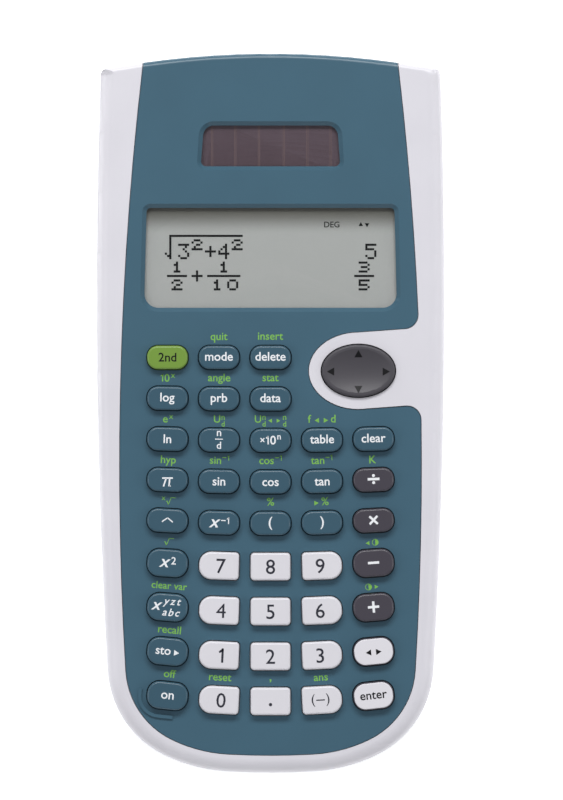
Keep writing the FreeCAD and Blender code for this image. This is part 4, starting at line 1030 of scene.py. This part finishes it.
# %% Solar cell lines
low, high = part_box("solar_cell")
cell_top, cell_mid = high.z / MM, (low.y + high.y) / 2 / MM
END_MARGINS, LINE_WIDTH = 0.8, 0.09  # bare cell at both ends of a line together, and a line's width, in mm
cell_long = (high.y - low.y) / MM - END_MARGINS
strip = bar("cell_strip", cell_long, LINE_WIDTH, (0, 0), math.pi / 2)
strips = []
GAPS, HALF_GAP = (-14.1, -8.5, -2.8, 3.2, 8.9, 14.5), 0.17  # where the gaps are, and half their width, in mm
for gap in GAPS:
    for side in (-HALF_GAP, HALF_GAP):
        copy = strip.copy()
        copy.data = strip.data.copy()
        bpy.context.collection.objects.link(copy)
        move_points(copy, gap + side, cell_mid - cell_long / 2)
        strips.append(copy)
bpy.data.objects.remove(strip)
scribed = joined("solar_cell_lines", strips)
move_points(scribed, 0, 0, cell_top * MM, 0, MM)
line_paste = moulded_plastic(
    "scribed_silver_paste", "#ab9d9f", "#a19395",
    rough=0.4, grain=0.2, depth=0.002, cloud=3.0,
)
scribed.data.materials.clear()
scribed.data.materials.append(line_paste)
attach(scribed, "case")
print("scribed lines:", len(strips))

# %% [markdown]
# ## Arrows on the direction pad
# Four small dark triangles near the pad's rim show its four ways. The real arrows are shallow reliefs in the
# pad's own plastic, and the black of these triangles is painted shade. The pad is dished, so each triangle is
# laid on the dish by a ray from above: its points are lowered to the surface they hang over.

# %% Pad arrows
pad = bpy.data.objects["nav_pad_skin"]
bpy.context.view_layer.update()
low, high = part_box("nav_pad")
pad_mid = (low + high) / 2 - Vector((0, 0.2 * MM, 0))
ARROW_SIZE = 2.1
ARROW_OUT = (6.46, 4.05)  # from the pad's middle to an arrow's origin, across and up, in mm
ARROW_LIFT = 0.01  # over the pad, in mm, so that its low points don't sink in


def height_on(piece, x, y):
    """Height of a piece's top over a place, by a ray straight down."""
    hit, spot_on, _, _ = piece.ray_cast(Vector((x, y, 0.05)), Vector((0, 0, -1)))
    return spot_on.z if hit else None


arrows = []
for number, turn in enumerate((0, math.pi / 2, math.pi, 3 * math.pi / 2)):
    arrow = sign_run("right", ARROW_SIZE)
    out = ARROW_OUT[number % 2] * MM
    move_points(arrow, 0, 0, 0, turn, MM)
    move_points(arrow, pad_mid.x + out * math.cos(turn), pad_mid.y + out * math.sin(turn))
    for vertex in arrow.data.vertices:
        vertex.co.z += height_on(pad, vertex.co.x, vertex.co.y) + ARROW_LIFT * MM
    arrows.append(arrow)
# The arrows' black is painted shade: the real arrows are reliefs in the pad's own plastic.
pad_arrow_shade = joined("pad_arrows_painted_shade", arrows)
pad_arrow_shade.data.materials.clear()
pad_arrow_shade.data.materials.append(black_ink_and_shade)
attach(pad_arrow_shade, "nav_pad")
for sign in SIGNS.values():
    bpy.data.objects.remove(sign)
print("pad arrows:", len(arrows))

# %% [markdown]
# ## The studio
# The calculator lies face up on a pale sheet that glows a little. A large soft light stands beyond its
# display end and throws the short shadows under the keys. Weaker ones fill from the left, the right and the
# near side, and a pale sky softens the rest.

# %% Floor and lights
FLOOR_GLOW, SKY_STRENGTH = 0.7, 0.3
clear_selection()
bpy.ops.mesh.primitive_plane_add(size=3.0, location=(0, 0, 0))
floor = bpy.context.object
floor.name = "floor_sheet"
bpy.ops.object.mode_set(mode="EDIT")
bpy.ops.mesh.subdivide(number_cuts=4)
bpy.ops.object.mode_set(mode="OBJECT")
paper = moulded_plastic("white_card_floor", "#fbfbfb", "#f8f8f8", rough=0.9, grain=2.0, depth=0.01, cloud=200.0)
paper.node_tree.nodes["Principled BSDF"].inputs["Emission Color"].default_value = linear("#ffffff")
paper.node_tree.nodes["Principled BSDF"].inputs["Emission Strength"].default_value = FLOOR_GLOW
floor.data.materials.append(paper)

world = bpy.data.worlds.new("studio_sky")
bpy.context.scene.world = world
world.use_nodes = True
world.node_tree.nodes["Background"].inputs["Color"].default_value = linear("#f7f9ff")
world.node_tree.nodes["Background"].inputs["Strength"].default_value = SKY_STRENGTH
bpy.context.scene.view_settings.view_transform = "Standard"


def soft_light(name, place, size, power):
    """A wide area light aimed at the calculator's middle; its size is its width and depth."""
    clear_selection()
    bpy.ops.object.light_add(type="AREA", location=place)
    lamp = bpy.context.object
    lamp.name = name
    lamp.data.shape = "RECTANGLE"
    lamp.data.size, lamp.data.size_y = size
    lamp.data.energy = power
    lamp.rotation_euler = (Vector((0, 0, 0.01)) - Vector(place)).to_track_quat("-Z", "Y").to_euler()


soft_light("key_light", (-0.05, 0.95, 1.0), (1.3, 0.4), 17.0)
soft_light("left_light", (-1.1, -0.1, 0.8), (0.5, 0.9), 2.7)
soft_light("right_light", (1.1, -0.1, 0.8), (0.5, 0.9), 2.8)
soft_light("near_light", (0.0, -1.2, 0.35), (1.4, 0.3), 2.2)
print("floor and lights are up")

# %% [markdown]
# ## The camera
# The view is straight down from two metres with a long lens, so the sides of the keys hardly show. The
# picture takes in 193 mm from top to bottom.

# %% Camera
clear_selection()
low, high = solid_box
DISTANCE, VIEW_HEIGHT = 2.0, 0.1928  # in metres
AIM = (2.65 * MM, 3.2 * MM)  # the place on the face that the picture is centred on
bpy.ops.object.camera_add(location=(AIM[0], AIM[1], high.z + DISTANCE), rotation=(0, 0, 0))
camera = bpy.context.object
camera.data.sensor_width = 36
camera.data.lens = camera.data.sensor_width * DISTANCE / VIEW_HEIGHT
camera.data.clip_end = 10
bpy.context.scene.camera = camera
print("camera lens", round(camera.data.lens, 1), "mm")
